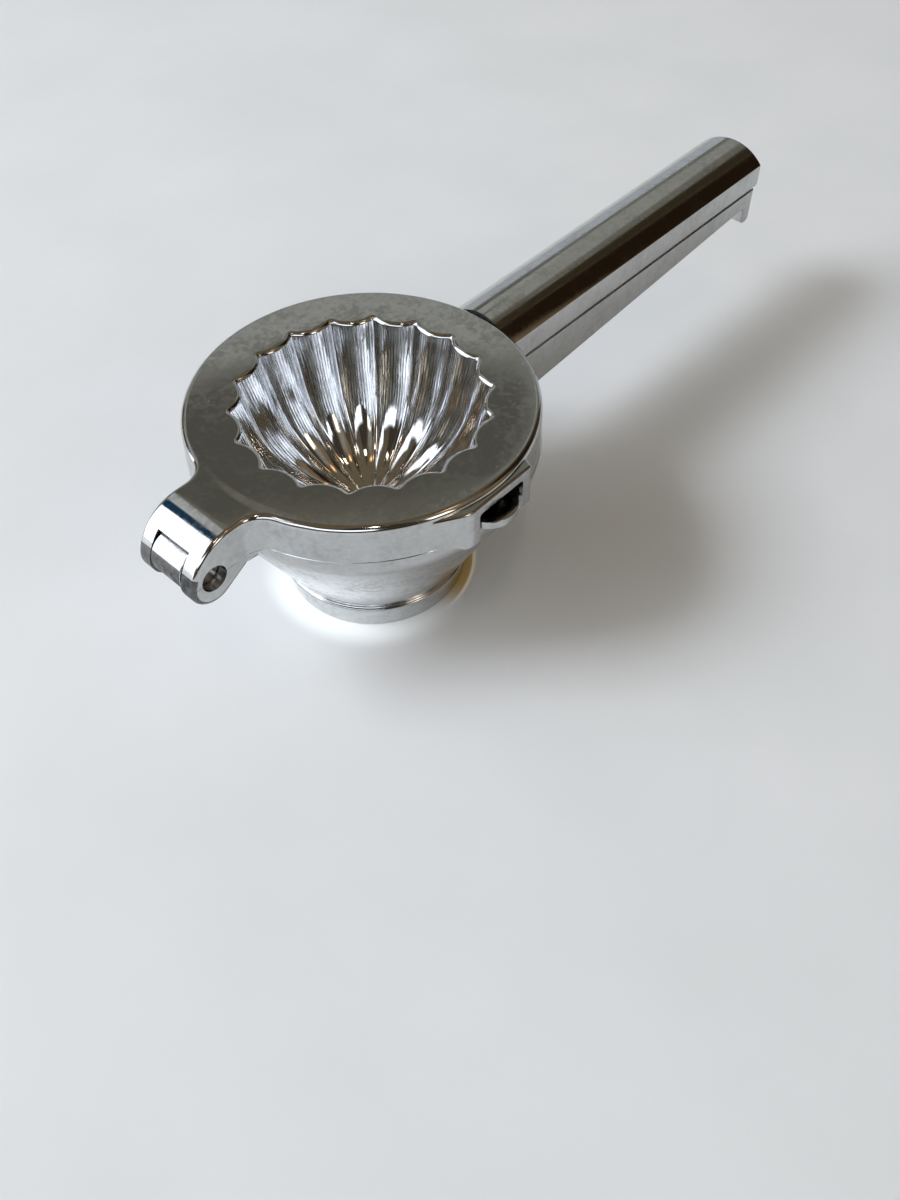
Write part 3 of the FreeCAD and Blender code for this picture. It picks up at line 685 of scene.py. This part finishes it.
# %% Section of the bowl
FOOT_HEIGHT = 7.5
FOOT_BASE = 23.5
FOOT_TOP = 24.4
BOWL_WALL = 2.8
SHOULDER_ROUND = 12.0
RIM_DEPTH = 3.3
CORE_INSET = 1.4
side_slope = (SEAM_RADIUS - FOOT_TOP) / (SEAM_Z - RIM_DEPTH - FOOT_HEIGHT)
shoulder_centre = (SEAM_RADIUS - SHOULDER_ROUND, SEAM_Z - 0.363)
side_lean = math.degrees(math.atan(side_slope))
outside = arc((FOOT_BASE - 0.4, 0.4), 0.4, -90, 0, 3) + [(FOOT_TOP + 0.1, FOOT_HEIGHT - 1.0)]
outside += arc((FOOT_TOP - 0.5, FOOT_HEIGHT - 0.9), 0.6, 0, 75, 4)[1:]
outside += [(FOOT_TOP - 0.5, FOOT_HEIGHT - 0.1), (FOOT_TOP - 0.25, FOOT_HEIGHT + 0.5)]
outside += arc(shoulder_centre, SHOULDER_ROUND, -side_lean, 0, 12)
outside += [(SEAM_RADIUS, SEAM_Z - SEAM_BEVEL), (SEAM_RADIUS - SEAM_BEVEL, SEAM_Z)]
rim_inside = SEAM_RADIUS - BOWL_WALL
inside = [(rim_inside + 0.3, SEAM_Z), (rim_inside, SEAM_Z - 0.3),
          (rim_inside, SEAM_Z - RIM_DEPTH)]
inside += [(FOOT_TOP - BOWL_WALL + 0.5 * side_slope + 1.2, 9.4)]
inside += arc((FOOT_TOP - BOWL_WALL - 1.4, 10.0), 2.0, -90, -20, 6)[::-1]
recess = [(0, 4.0), (FOOT_BASE - 4.0, 4.0)] + arc((FOOT_BASE - 4.0, 3.0), 1.0, 90, 0, 4)[1:]
recess += [(FOOT_BASE - 3.0, 0.3), (FOOT_BASE - 2.7, 0)]
bowl = turned("juice_bowl_casting", recess + outside + inside + [(0, 8.0)], CAST)
mid_wall = [(x - CORE_INSET, z) for x, z in outside if z > FOOT_HEIGHT + 0.4]
bowl_core = [(0, FOOT_HEIGHT), (20, FOOT_HEIGHT)] + mid_wall[:-1]
bowl_core += [(SEAM_RADIUS - CORE_INSET, SEAM_Z + 4), (0, SEAM_Z + 4)]

# %% [markdown]
# ### Knuckle and lower handle
#
# Both are drawn from the side and pushed out across the squeezer. The knuckle is a round end on a
# short arm. The handle is a channel that opens upwards, and its end turns down into a hook that
# keeps the fingers from slipping off. Before they are joined, both are trimmed to the middle of
# the bowl's wall, so nothing of them shows inside when the lid swings open.

# %% Knuckle
KNUCKLE_RADIUS = 5.9
KNUCKLE_HALF = 4.9
KNUCKLE_PLAY = 0.06
ARM_TOP = SEAM_Z - 0.3
INNER_X = 31.65
arm_turn = math.degrees(math.asin((ARM_TOP - PIN_Z) / KNUCKLE_RADIUS))
knuckle_outline = ([(-INNER_X, SEAM_Z - 9.5), (-INNER_X, ARM_TOP)]
                   + arc((PIN_X, PIN_Z), KNUCKLE_RADIUS, arm_turn, 270, 56))
knuckle = prism("knuckle", knuckle_outline, -KNUCKLE_HALF, KNUCKLE_HALF, 0.35, CAST)

# %% Lower handle and hook
HOOK_X = LOWER_END - 3.6
ROOT_Z = LOWER_TOP - 13.0
TIP_Z = LOWER_TOP - 5.0
HOOK_LOW = LOWER_TOP - 10.4
INNER_CORNER = 1.6
HOOK_CORNER = 1.5
CHANNEL_TOP = LOWER_TOP + 3
hook_turn = math.degrees(math.atan((TIP_Z - ROOT_Z) / (HOOK_X - INNER_X)))
lower_outline = [(INNER_X, LOWER_TOP), (INNER_X, ROOT_Z)]
lower_outline += arc((HOOK_X - INNER_CORNER, TIP_Z - INNER_CORNER), INNER_CORNER,
                     90 + hook_turn, 0, 6)
lower_outline += arc((HOOK_X + HOOK_CORNER, HOOK_LOW + HOOK_CORNER), HOOK_CORNER, 180, 270, 5)
lower_outline += arc((LOWER_END - HOOK_CORNER, HOOK_LOW + HOOK_CORNER), HOOK_CORNER, 270, 360, 5)
lower_outline += [(LOWER_END, LOWER_TOP)]
lower_handle = prism("lower_handle", lower_outline, -HANDLE_HALF, HANDLE_HALF, 0.5, CAST)
channel_low = ROOT_Z + HANDLE_WALL + (CHANNEL_START - INNER_X) * math.tan(math.radians(hook_turn))
lower_channel_outline = [(CHANNEL_START, channel_low), (HOOK_X, TIP_Z + HANDLE_WALL),
                         (HOOK_X, CHANNEL_TOP), (CHANNEL_START, CHANNEL_TOP)]
# The lower channel takes the rough finish, dark as painted shade
cut(lower_handle, prism("lower_channel", lower_channel_outline, -HANDLE_HALF + HANDLE_WALL,
                        HANDLE_HALF - HANDLE_WALL, 0.8, ROUGH_PAINTED_SHADE))

# %% Join them to the bowl
for part in (knuckle, lower_handle):
    cut(part, turned("bowl_core", bowl_core, CAST))
    join(bowl, part)
knuckle_bore = arc((PIN_X, PIN_Z), PIN_RADIUS + KNUCKLE_PLAY, 0, 360, 48)[:-1]
cut(bowl, prism("knuckle_bore", knuckle_bore, -8, 8, 0, ROUGH_PAINTED_SHADE))

# %% [markdown]
# ### Pouring lip
#
# The spout is a small half bowl that leans out of the rim. It could be pushed out of the bowl's
# own rows, but a spoon shape turned about its own axis gives a true round rim. Its sides are
# trimmed flat, because the visor's legs stand close beside it, and its hollow is cut last,
# through the wall of the bowl, so that the juice can reach it.

# %% Pouring lip
LIP_HALF = 6.9
LIP_TOP = SEAM_Z + 2.8
LIP_LOW = SEAM_Z - 8.0
LIP_RADIUS = 7.0
LIP_CENTRE = LIP_TIP + LIP_RADIUS
LIP_EDGE = 0.25
LIP_TURN_STEPS = 144
LIP_BACK = -SEAM_RADIUS + BOWL_WALL + 0.6
lip_section = [(0, LIP_LOW + 2), (1.5, LIP_LOW + 2.4), (3.2, LIP_TOP - 5.8), (4.8, LIP_TOP - 4.4),
               (6.0, LIP_TOP - 3.2), (6.75, LIP_TOP - 2.4), (LIP_RADIUS, LIP_TOP - 1.8)]
lip_section += [(LIP_RADIUS - LIP_EDGE + x, LIP_TOP - LIP_EDGE + z)
                for x, z in arc((0, 0), LIP_EDGE, 0, 90, 4)] + [(0, LIP_TOP)]
lip = turned("lip", lip_section, CAST, LIP_TURN_STEPS, (0, LIP_CENTRE))
lip_reach = [(-LIP_HALF, LIP_TIP - 1), (LIP_HALF, LIP_TIP - 1), (LIP_HALF, LIP_BACK),
             (-LIP_HALF, LIP_BACK)]
combine(lip, prism("lip_reach", lip_reach, LIP_LOW - 1, LIP_TOP + 1, 0, CAST, upward),
        "INTERSECT")
join(bowl, lip)
hollow_section = [(0, LIP_TOP - 7.0), (1.4, LIP_TOP - 6.6), (2.8, LIP_TOP - 4.6),
                  (4.2, LIP_TOP - 3.0), (5.0, LIP_TOP - 1.9), (5.3, LIP_TOP - 0.8),
                  (5.4, LIP_TOP), (5.5, LIP_TOP + 2), (0, LIP_TOP + 2)]
cut(bowl, turned("lip_hollow", hollow_section, CAST, LIP_TURN_STEPS, (0, LIP_CENTRE)))

# %% [markdown]
# ## The hinge pin
#
# A plain turned pin, pressed into both ears of the fork. Its ends lie a little inside the ears,
# and each has a small rounding that lets it start into its hole. A cylinder from Blender's own
# list would have knife edges, so the pin is one more prism, whose long edges are rounded as it is
# made.

# %% Turn the pin
PIN_EDGE = 0.5
pin_outline = arc((PIN_X, PIN_Z), PIN_RADIUS, 0, 360, 64)[:-1]
pin = prism("steel_pin", pin_outline, -PIN_HALF, PIN_HALF, PIN_EDGE, STEEL)

# %% [markdown]
# ## Smooth faces and true edges
#
# After the cuts, the skins are welded once more. Faces are shaded smooth except where they meet
# at a sharp angle, and each corner's normal leans towards the larger face, which keeps flat areas
# flat right up to their roundings: in a mirror finish, anything else shows at once.

# %% The knuckle's unpolished front, darkened as painted shade
# Between the ears no wheel reaches the knuckle, so its round end stays as it left the mould; its
# rough finish also darkens it there as painted shade between the ears
rough_painted_shade_faces = 0
for face in bowl.data.polygons:
    spot = face.center / MM
    if spot.x < PIN_X - 2.0 and spot.z < PIN_Z + 3.2 and abs(spot.y) < KNUCKLE_HALF - 0.2:
        face.material_index = ROUGH_PAINTED_SHADE
        rough_painted_shade_faces += 1
print(f"{rough_painted_shade_faces} faces of the knuckle stay rough")

# %% Finish the skins, hang them on their bodies and hide the solid pieces
SHARP = math.radians(32)
LARGE_FACES_LEAD = 100


def finish_skin(piece):
    work = bmesh.new()
    work.from_mesh(piece.data)
    bmesh.ops.remove_doubles(work, verts=work.verts, dist=WELD)
    bmesh.ops.dissolve_degenerate(work, edges=work.edges, dist=WELD)
    for face in work.faces:
        face.smooth = True
    for edge in work.edges:
        edge.smooth = len(edge.link_faces) == 2 and edge.calc_face_angle(0) < SHARP
    open_edges = sum(not edge.is_manifold for edge in work.edges)
    work.to_mesh(piece.data)
    work.free()
    weigh = piece.modifiers.new("corner_normals", "WEIGHTED_NORMAL")
    weigh.keep_sharp = True
    weigh.weight = LARGE_FACES_LEAD
    print(f"{piece.name}: {len(piece.data.polygons)} faces, {open_edges} open edges")


for piece, body, node, slot_name in ((lid, "upper", "press_lid", "chromed_lid"),
                                     (bowl, "lower", "juice_bowl", "chromed_bowl"),
                                     (pin, "upper", "hinge_pin", "steel_pin")):
    finish_skin(piece)
    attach(piece, body)
    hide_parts(node)

# %% [markdown]
# ## Colours and nodes
#
# Colours are written as on a paint card, as sRGB hex values, and one function turns them into the
# linear numbers that the renderer works with. One helper adds any node: a value in `sockets` is
# either a plain setting or another node, whose first output is then linked in. Most patterns here
# need to change softly from one level to another, so `span` writes down the sockets of a Map
# Range node for that, and `overlap` multiplies masks.

# %% Colour helper


def colour(code):
    """A linear colour from an sRGB hex value such as #c8cacc."""
    parts = [int(code[place:place + 2], 16) / 255 for place in (1, 3, 5)]
    return [part / 12.92 if part <= 0.04045 else ((part + 0.055) / 1.055) ** 2.4
            for part in parts] + [1.0]


print("half grey #808080 is", round(colour("#808080")[0], 3), "in linear light")

# %% Node helpers
SOFTLY = {"interpolation_type": "SMOOTHSTEP"}


def add(tree, kind, sockets=None, **fields):
    """Adds a node, sets its fields, and fills or links its sockets."""
    made = tree.nodes.new("ShaderNode" + kind)
    for field, value in fields.items():
        setattr(made, field, value)
    for key, value in (sockets or {}).items():
        if isinstance(value, bpy.types.Node):
            value = value.outputs[0]
        if isinstance(value, bpy.types.NodeSocket):
            tree.links.new(value, made.inputs[key])
        else:
            made.inputs[key].default_value = value
    return made


def span(source, low, high, start=0.0, end=1.0):
    """Map Range sockets: start where the source is below low, end where it is above high."""
    return {"Value": source, "From Min": low, "From Max": high, "To Min": start, "To Max": end}


def overlap(tree, masks):
    """The part that all the masks share: their product."""
    shared = masks[0]
    for mask in masks[1:]:
        shared = add(tree, "Math", {0: shared, 1: mask}, operation="MULTIPLY")
    return shared


def set_ramp(ramp, *stops):
    """Gives a colour ramp its two stops, each a position and a hex colour."""
    for stop, (position, code) in zip(ramp.color_ramp.elements, stops):
        stop.position, stop.color = position, colour(code)


def per_mm(size):
    """Texture scale for a pattern of one size in millimetres, because objects are in metres."""
    return 1 / (size * MM)


print(f"a pattern of 4 mm has scale {per_mm(4):.0f}")

# %% [markdown]
# ## Chrome
#
# Zinc castings like this one are polished, then plated with nickel and a very thin layer of
# chrome. Chrome reflects about two thirds of the light, slightly bluish. What tells one area from
# the next is the surface under the plate. A picture of scratched metal could be wrapped round the
# piece, but it would stretch in the flutes. Patterns in the object's own millimetres don't, so
# every finish starts from the same four: a haze that changes the gloss, a smear within it, a slow
# swell of the casting and small pits.

# %% A finish for cast and plated metal
# Sizes in millimetres: patches of haze from handling, and finger smears inside them. Real pits are
# much smaller; here each is about a tenth of their spacing wide, as coarse as it needs to be to
# show.
HAZE_MM = 9
SMEAR_MM = 1.6
HAZE_LEVELS = (0.16, 0.36)
SHADE_LEVELS = (0.12, 0.42)
PIT_EDGE = (0.03, 0.07)


def start(material):
    """An empty node tree with a metal shader, its output and the object's own coordinates."""
    material.use_nodes = True
    tree = material.node_tree
    tree.nodes.clear()
    shader = add(tree, "BsdfPrincipled")
    shader.inputs["Metallic"].default_value = 1.0
    add(tree, "OutputMaterial", {"Surface": shader})
    return tree, shader, add(tree, "TexCoord").outputs["Object"]


def metal_finish(name, tint, gloss, swell_mm, swell_depth, pit_mm, pit_depth):
    """Colour, gloss, swell and pits of one metal face; tint and gloss go from clean to hazy."""
    tree, shader, place = start(FINISHES[name])
    haze = add(tree, "TexNoise", {"Vector": place, "Scale": per_mm(HAZE_MM), "Detail": 4.0,
                                  "Roughness": 0.6})
    smear = add(tree, "TexNoise", {"Vector": place, "Scale": per_mm(SMEAR_MM), "Detail": 3.0,
                                   "Distortion": 0.6})
    handled = add(tree, "Math", {0: haze, 1: smear}, operation="MULTIPLY")
    rough = add(tree, "MapRange", span(handled, *HAZE_LEVELS, *gloss), **SOFTLY)
    tree.links.new(rough.outputs[0], shader.inputs["Roughness"])
    shade = add(tree, "ValToRGB", {"Fac": handled})
    set_ramp(shade, (SHADE_LEVELS[0], tint[0]), (SHADE_LEVELS[1], tint[1]))
    tree.links.new(shade.outputs[0], shader.inputs["Base Color"])
    swell = add(tree, "TexNoise", {"Vector": place, "Scale": per_mm(swell_mm), "Detail": 2.0})
    swollen = add(tree, "Bump", {"Height": swell, "Distance": swell_depth * MM, "Strength": 1.0})
    spots = add(tree, "TexVoronoi", {"Vector": place, "Scale": per_mm(pit_mm)})
    pits = add(tree, "MapRange", span(spots, *PIT_EDGE), **SOFTLY)
    pitted = add(tree, "Bump", {"Height": pits, "Distance": pit_depth * MM, "Strength": 1.0,
                                "Normal": swollen})
    tree.links.new(pitted.outputs[0], shader.inputs["Normal"])
    print(f"{name}: roughness {gloss[0]:.2f} to {gloss[1]:.2f}, colour {tint[0]} to {tint[1]}")
    return tree, shader, place, pitted


def press_in(tree, shader, height, depth, under):
    """Presses one more pattern into a finish, over the bump that it has already."""
    pressed = add(tree, "Bump", {"Height": height, "Distance": depth * MM, "Strength": 1.0,
                                 "Normal": under})
    tree.links.new(pressed.outputs[0], shader.inputs["Normal"])


# %% [markdown]
# ### Buffed top
#
# The flat top, the rim and the crown of the handle were held against a buffing wheel before
# plating. The eye sees the room in them, only slightly soft. Where the neck leaves the disc, the
# wheel left a faint step along the disc's own circle. It is a tenth of a millimetre deep, too low
# for rows of its own in the skin, so a bump draws it.

# %% Buffed chrome
STEP_RADII = (39.0 * MM, 41.6 * MM)
NECK_REACH = (-38.0 * MM, -35.0 * MM)
STEP_DEPTH = 0.10


def from_axis(tree, axes):
    """Distance from the squeezer's upright axis."""
    plan = add(tree, "CombineXYZ", {0: axes.outputs["X"], 1: axes.outputs["Y"]})
    return add(tree, "VectorMath", {0: plan}, operation="LENGTH").outputs["Value"]


tree, shader, place, under = metal_finish("mirror_chrome", ("#cfd0d0", "#b9bab9"), (0.05, 0.16),
                                          8.0, 0.012, 6.0, 0.02)
axes = add(tree, "SeparateXYZ", {0: place})
step_masks = [add(tree, "MapRange", span(from_axis(tree, axes), *STEP_RADII), **SOFTLY),
              add(tree, "MapRange", span(axes.outputs["X"], *NECK_REACH, 1.0, 0.0), **SOFTLY)]
press_in(tree, shader, overlap(tree, step_masks), -STEP_DEPTH, under)

# %% [markdown]
# ### Cast sides
#
# The skirt, the bowl and the sides of the handles were only brushed over, so they keep the soft
# swell of the mould and look hazier than the top. The two halves of the mould met at the height
# of the seam, and on the ears of the hinge their parting line still shows: a fine line, broken
# where it was filed.

# %% Chrome over a cast face, with the parting line
LINE_EDGE = (0.05 * MM, 0.16 * MM)
EAR_FACE = (9.0 * MM, 9.2 * MM)
HINGE_REACH = (-42.0 * MM, -41.0 * MM)
FILED_MM = 1.3
FILED_LEVELS = (0.42, 0.52)
LINE_DEPTH = 0.12
tree, shader, place, under = metal_finish("cast_chrome", ("#c9caca", "#b2b3b3"), (0.10, 0.26),
                                          4.0, 0.030, 4.5, 0.03)
axes = add(tree, "SeparateXYZ", {0: place})
above_seam = add(tree, "Math", {0: axes.outputs["Z"], 1: -SEAM_Z * MM}, operation="ADD")
off_seam = add(tree, "Math", {0: above_seam}, operation="ABSOLUTE")
aside = add(tree, "Math", {0: axes.outputs["Y"]}, operation="ABSOLUTE")
filed = add(tree, "TexNoise", {"Vector": place, "Scale": per_mm(FILED_MM)})
line_masks = [add(tree, "MapRange", sockets, **SOFTLY) for sockets in (
    span(off_seam, *LINE_EDGE, 1.0, 0.0), span(aside, *EAR_FACE),
    span(axes.outputs["X"], *HINGE_REACH, 1.0, 0.0), span(filed, *FILED_LEVELS))]
press_in(tree, shader, overlap(tree, line_masks), -LINE_DEPTH, under)

# %% [markdown]
# ### Rough corners
#
# Inside the channels, in the fork's slot and under the ears no wheel could reach. The plate there
# lies on the sandy skin of the casting, which leaves it dull and without reflections. Its dark grey
# colour is painted shade for these recesses, where shade falls.

# %% Chrome over an unpolished face, darkened as painted shade
metal_finish("rough_chrome_painted_shade", ("#7a7a79", "#484847"), (0.28, 0.50), 0.7, 0.09, 1.0, 0.09)

# %% [markdown]
# ### Flutes
#
# The flutes were polished lengthways with a narrow wheel. That leaves them the brightest part of
# the squeezer, with streaks that run down to the centre and draw every highlight out. A streak is
# a pattern that is fine round the axis and long down it, so the turn and the depth take the place
# of the usual coordinates. Real polishing lines are much finer; these are drawn 0.45 mm wide
# where the hollow has a radius of 24 mm, as coarse as they need to be to show.

# %% Streaked chrome
STREAK_RADIUS = 24.0
STREAK_WIDTH = 0.45
STREAK_LENGTH = 16
STREAK_DEPTH = 0.018


def round_axis(tree, axes):
    """Turn about the upright axis, in radians from -pi to pi."""
    return add(tree, "Math", {0: axes.outputs["Y"], 1: axes.outputs["X"]}, operation="ARCTAN2")


tree, shader, place, under = metal_finish("fluted_chrome", ("#dfe1e3", "#cccdd0"), (0.04, 0.12),
                                          3.0, 0.01, 4.0, 0.01)
axes = add(tree, "SeparateXYZ", {0: place})
round_way = add(tree, "Math", {0: round_axis(tree, axes), 1: STREAK_RADIUS / STREAK_WIDTH},
                operation="MULTIPLY")
down_way = add(tree, "Math", {0: axes.outputs["Z"], 1: per_mm(STREAK_LENGTH)},
               operation="MULTIPLY")
streaks = add(tree, "TexNoise", {"Vector": add(tree, "CombineXYZ", {0: round_way, 1: down_way}),
                                 "Scale": 1.0, "Detail": 3.0, "Roughness": 0.6})
press_in(tree, shader, streaks, STREAK_DEPTH, under)

# %% [markdown]
# ### Pin
#
# The pin is plain drawn steel without plate. The eye sees it a little darker and warmer than the
# chrome round it, with no clear reflection.

# %% Plain steel
metal_finish("pin_steel", ("#b3b1ad", "#85837e"), (0.28, 0.42), 1.0, 0.02, 1.3, 0.03)

# %% [markdown]
# ## Table
#
# The squeezer stands on a white lacquered table. A flat white would do for the shadow, but a very
# faint grain keeps the large pale area from looking painted on.

# %% Table top
TABLE_HALF = 3
GRAIN_MM = 60
corners = [(-TABLE_HALF, -TABLE_HALF, 0), (TABLE_HALF, -TABLE_HALF, 0),
           (TABLE_HALF, TABLE_HALF, 0), (-TABLE_HALF, TABLE_HALF, 0)]
table = bpy.data.meshes.new("table")
table.from_pydata(corners, [], [(0, 1, 2, 3)])
table_top = bpy.data.objects.new("table", table)
bpy.context.scene.collection.objects.link(table_top)
lacquer = bpy.data.materials.new("white_lacquer")
lacquer.use_nodes = True
table.materials.append(lacquer)
tree = lacquer.node_tree
shader = tree.nodes["Principled BSDF"]
shader.inputs["Roughness"].default_value = 0.5
place = add(tree, "TexCoord").outputs["Object"]
grain = add(tree, "TexNoise", {"Vector": place, "Scale": per_mm(GRAIN_MM), "Detail": 3.0})
tone = add(tree, "ValToRGB", {"Fac": grain})
set_ramp(tone, (0.3, "#dcdedd"), (0.7, "#e2e3e3"))
print(f"table of {2 * TABLE_HALF} m, grain of {GRAIN_MM} mm")

# %% [markdown]
# ### Light that the bowl throws
#
# The polished bowl throws the window's light down on the table: a bright crescent beside the
# foot, and a thin yellowish ring on the far side. A renderer that follows light from the camera
# finds such paths only by chance, and would need many times longer. So they are painted on as
# soft pieces of rings: the crescent and the ring are painted light that glows a little, and inside
# the ring the lacquer's colour is tinted yellow as painted light.

# %% Crescent and ring
# Each is its inner and outer radius in millimetres, both as a soft border, and then the turns in
# degrees where it starts and ends, with the softness of those ends.
CRESCENT = ((21, 23), (25.5, 32), 140, 250, 34)
RING = ((25.5, 26.0), (26.3, 26.9), 275, 342, 16)
INSIDE_RING = ((20, 21), (25.6, 26.2), 278, 345, 14)
CRESCENT_GLOW = 0.34
RING_GLOW = 0.16
axes = add(tree, "SeparateXYZ", {0: place})
away = from_axis(tree, axes)
degrees = add(tree, "Math", {0: round_axis(tree, axes)}, operation="DEGREES")
full_turn = add(tree, "Math", {0: degrees, 1: 0.0, 2: 360.0}, operation="WRAP")


def thrown(inner, outer, first, last, soft):
    """A soft piece of a ring on the table, between two radii and two turns."""
    return overlap(tree, [add(tree, "MapRange", sockets, **SOFTLY) for sockets in (
        span(away, inner[0] * MM, inner[1] * MM),
        span(away, outer[0] * MM, outer[1] * MM, 1.0, 0.0),
        span(full_turn, first - soft, first + soft),
        span(full_turn, last - soft, last + soft, 1.0, 0.0))])


crescent, ring, inside_ring = (thrown(*shape) for shape in (CRESCENT, RING, INSIDE_RING))

# In a Mix node for colours, socket 0 is the mask, 6 and 7 are the colours, and output 2 the result
# Painted light: inside the ring the table's colour turns yellow, standing in for the bowl's warm
# reflected light
painted_warm_light = add(tree, "Mix", {0: inside_ring, 6: tone.outputs[0], 7: colour("#cdb072")},
             data_type="RGBA")
tree.links.new(painted_warm_light.outputs[2], shader.inputs["Base Color"])
# Painted light: the crescent and the ring glow by emission from the table itself
glow = add(tree, "Mix", {0: ring, 6: colour("#f4fbff"), 7: colour("#d8b765")}, data_type="RGBA")
tree.links.new(glow.outputs[2], shader.inputs["Emission Color"])
strength = add(tree, "Math", {0: ring, 1: RING_GLOW}, operation="MULTIPLY")
strength = add(tree, "Math", {0: crescent, 1: CRESCENT_GLOW, 2: strength}, operation="MULTIPLY_ADD")
tree.links.new(strength.outputs[0], shader.inputs["Emission Strength"])
print(f"crescent out to {CRESCENT[1][1]} mm from the axis, ring at {RING[0][1]} mm")

# %% [markdown]
# ## Room
#
# Polished chrome has no colour of its own to show: it shows the room. So the room is part of the
# finish. It could be built from walls and lamps, but each would also light the table. Here the
# world itself is a warm, fairly dark studio with soft patches in the directions that the
# photograph's own highlights give away: a cool window behind the hinge, dim walls behind the
# handles and the camera, and a small lamp overhead.

# %% Patches of the room
# Each patch: colour, strength, first and last azimuth, lowest and highest elevation, and softness,
# all in degrees. A later patch lies over the earlier ones.
ROOM_BASE = "#5f5647"
ROOM = [
    ("#6b5f4b", 1.0, 0, 360, 58, 91, 8),
    ("#8f887b", 1.0, 262, 300, 34, 62, 5),
    ("#3f382f", 1.0, 205, 256, 4, 86, 3),
    ("#eef5ff", 2.5, 172, 230, 21, 39, 3),
    ("#fff3e0", 3.0, 261, 276, 19, 40, 1.5),
    ("#7d6a52", 1.0, 292, 322, 8, 60, 5),
    ("#251a10", 1.0, 318, 346, 8, 57, 4),
    ("#3b3122", 1.0, 346, 364, 8, 57, 4),
    ("#77766c", 1.0, 3, 16, 23, 50, 3),
    ("#9a9b93", 1.0, 16, 44, 23, 50, 3),
    ("#a3a49e", 1.0, 40, 80, 26, 38, 1.5),
    ("#5c5a52", 1.0, 37, 72, 38.5, 46, 1.5),
    ("#7d7a6f", 1.0, 30, 70, 46, 57, 1.5),
    ("#b4babf", 1.0, 0, 84, -10, 18, 2),
    ("#767a70", 1.0, 0, 80, 19, 23, 1.5),
    ("#a9aaa8", 1.0, 84, 108, 22, 42, 2),
    ("#c6c7c7", 1.0, 70, 91, 45, 60, 1.5),
    ("#f2f7ff", 2.7, 109, 168, -6, 52, 1.5),
    ("#1f4560", 0.8, 92, 108, 43, 57, 1.2),
    ("#ffe9cc", 25.0, 225, 233, 69, 75, 1),
    ("#ffc488", 3.5, 297, 306, 60, 68, 2),
]
world = bpy.data.worlds.new("studio")
bpy.context.scene.world = world
world.use_nodes = True
room = world.node_tree
room.nodes.clear()
way = add(room, "SeparateXYZ", {0: add(room, "TexCoord").outputs["Generated"]})
azimuth = add(room, "Math", {0: round_axis(room, way)}, operation="DEGREES")
rise = add(room, "Math", {0: way.outputs["Z"]}, operation="ARCSINE")
rise = add(room, "Math", {0: rise}, operation="DEGREES")

# %% Lay the patches over each other
light = colour(ROOM_BASE)
for code, strength, first, last, low, high, soft in ROOM:
    middle = (first + last) / 2
    turn = add(room, "Math", {0: azimuth, 1: middle - 180, 2: middle + 180}, operation="WRAP")
    mask = overlap(room, [add(room, "MapRange", sockets, **SOFTLY) for sockets in (
        span(turn, first - soft, first + soft), span(turn, last - soft, last + soft, 1.0, 0.0),
        span(rise, low - soft, low + soft), span(rise, high - soft, high + soft, 1.0, 0.0))])
    patch = [part * strength for part in colour(code)[:3]] + [1.0]
    light = add(room, "Mix", {0: mask, 6: light, 7: patch}, data_type="RGBA").outputs[2]
add(room, "OutputWorld", {0: add(room, "Background", {"Color": light, "Strength": 1.0})})
print(f"room of {len(ROOM)} patches over {ROOM_BASE}")

# %% [markdown]
# ## Key light
#
# The soft shadow to the right shows where the window is. A world patch alone would give a weak
# and noisy shadow, so a square area light stands in that direction. It is hidden from
# reflections, because the patch already shows the window's shape in the chrome.

# %% Window light
KEY_AZIMUTH, KEY_RISE, KEY_AWAY = math.radians(140), math.radians(43), 1.6
KEY_SIZE = 0.55
KEY_POWER = 18.3
key = bpy.data.lights.new("window_key", "AREA")
key.shape, key.size = "SQUARE", KEY_SIZE
key.energy = KEY_POWER
key.color = colour("#eef5ff")[:3]
key_light = bpy.data.objects.new("window_key", key)
key_light.visible_glossy = False
key_way = Vector((math.cos(KEY_AZIMUTH) * math.cos(KEY_RISE),
                  math.sin(KEY_AZIMUTH) * math.cos(KEY_RISE), math.sin(KEY_RISE)))
key_light.location = key_way * KEY_AWAY
key_light.rotation_euler = key_way.to_track_quat("Z", "Y").to_euler()
bpy.context.scene.collection.objects.link(key_light)
print(f"key light at {[round(value, 2) for value in key_light.location]}")

# %% [markdown]
# ## Camera
#
# The camera was found from the photograph: the lid's circle, the foot and the ends of both
# handles fix where it stood, which way it looked and how much its lens took in. Its place is in
# millimetres from the foot's centre. The view transform is plain sRGB, so that a white table
# stays white.

# %% Camera at the photograph's angle
CAMERA_PLACE = Vector((-134.626, -153.850, 227.362))
CAMERA_FORWARD = Vector((0.46301, 0.43692, -0.77118))
CAMERA_RIGHT = Vector((0.67483, -0.73786, -0.01288)).normalized()
camera_up = CAMERA_RIGHT.cross(CAMERA_FORWARD).normalized()
turned_to = Matrix((CAMERA_RIGHT, camera_up, -CAMERA_FORWARD)).transposed()
camera_data = bpy.data.cameras.new("camera")
camera_data.sensor_fit, camera_data.sensor_width = "AUTO", 36.0
camera_data.lens = 34.0
camera = bpy.data.objects.new("camera", camera_data)
camera.matrix_world = Matrix.Translation(CAMERA_PLACE * MM) @ turned_to.to_4x4()
bpy.context.scene.collection.objects.link(camera)
bpy.context.scene.camera = camera
bpy.context.scene.view_settings.view_transform = "Standard"
print(f"camera with a {camera_data.lens:.0f} mm lens, {CAMERA_PLACE.length:.0f} mm from the foot")

# %% [markdown]
# ## The last update
#
# A finer skin mustn't change the object's size. The last cell brings the scene up to date.

# %% Bring the scene up to date
bpy.context.view_layer.update()
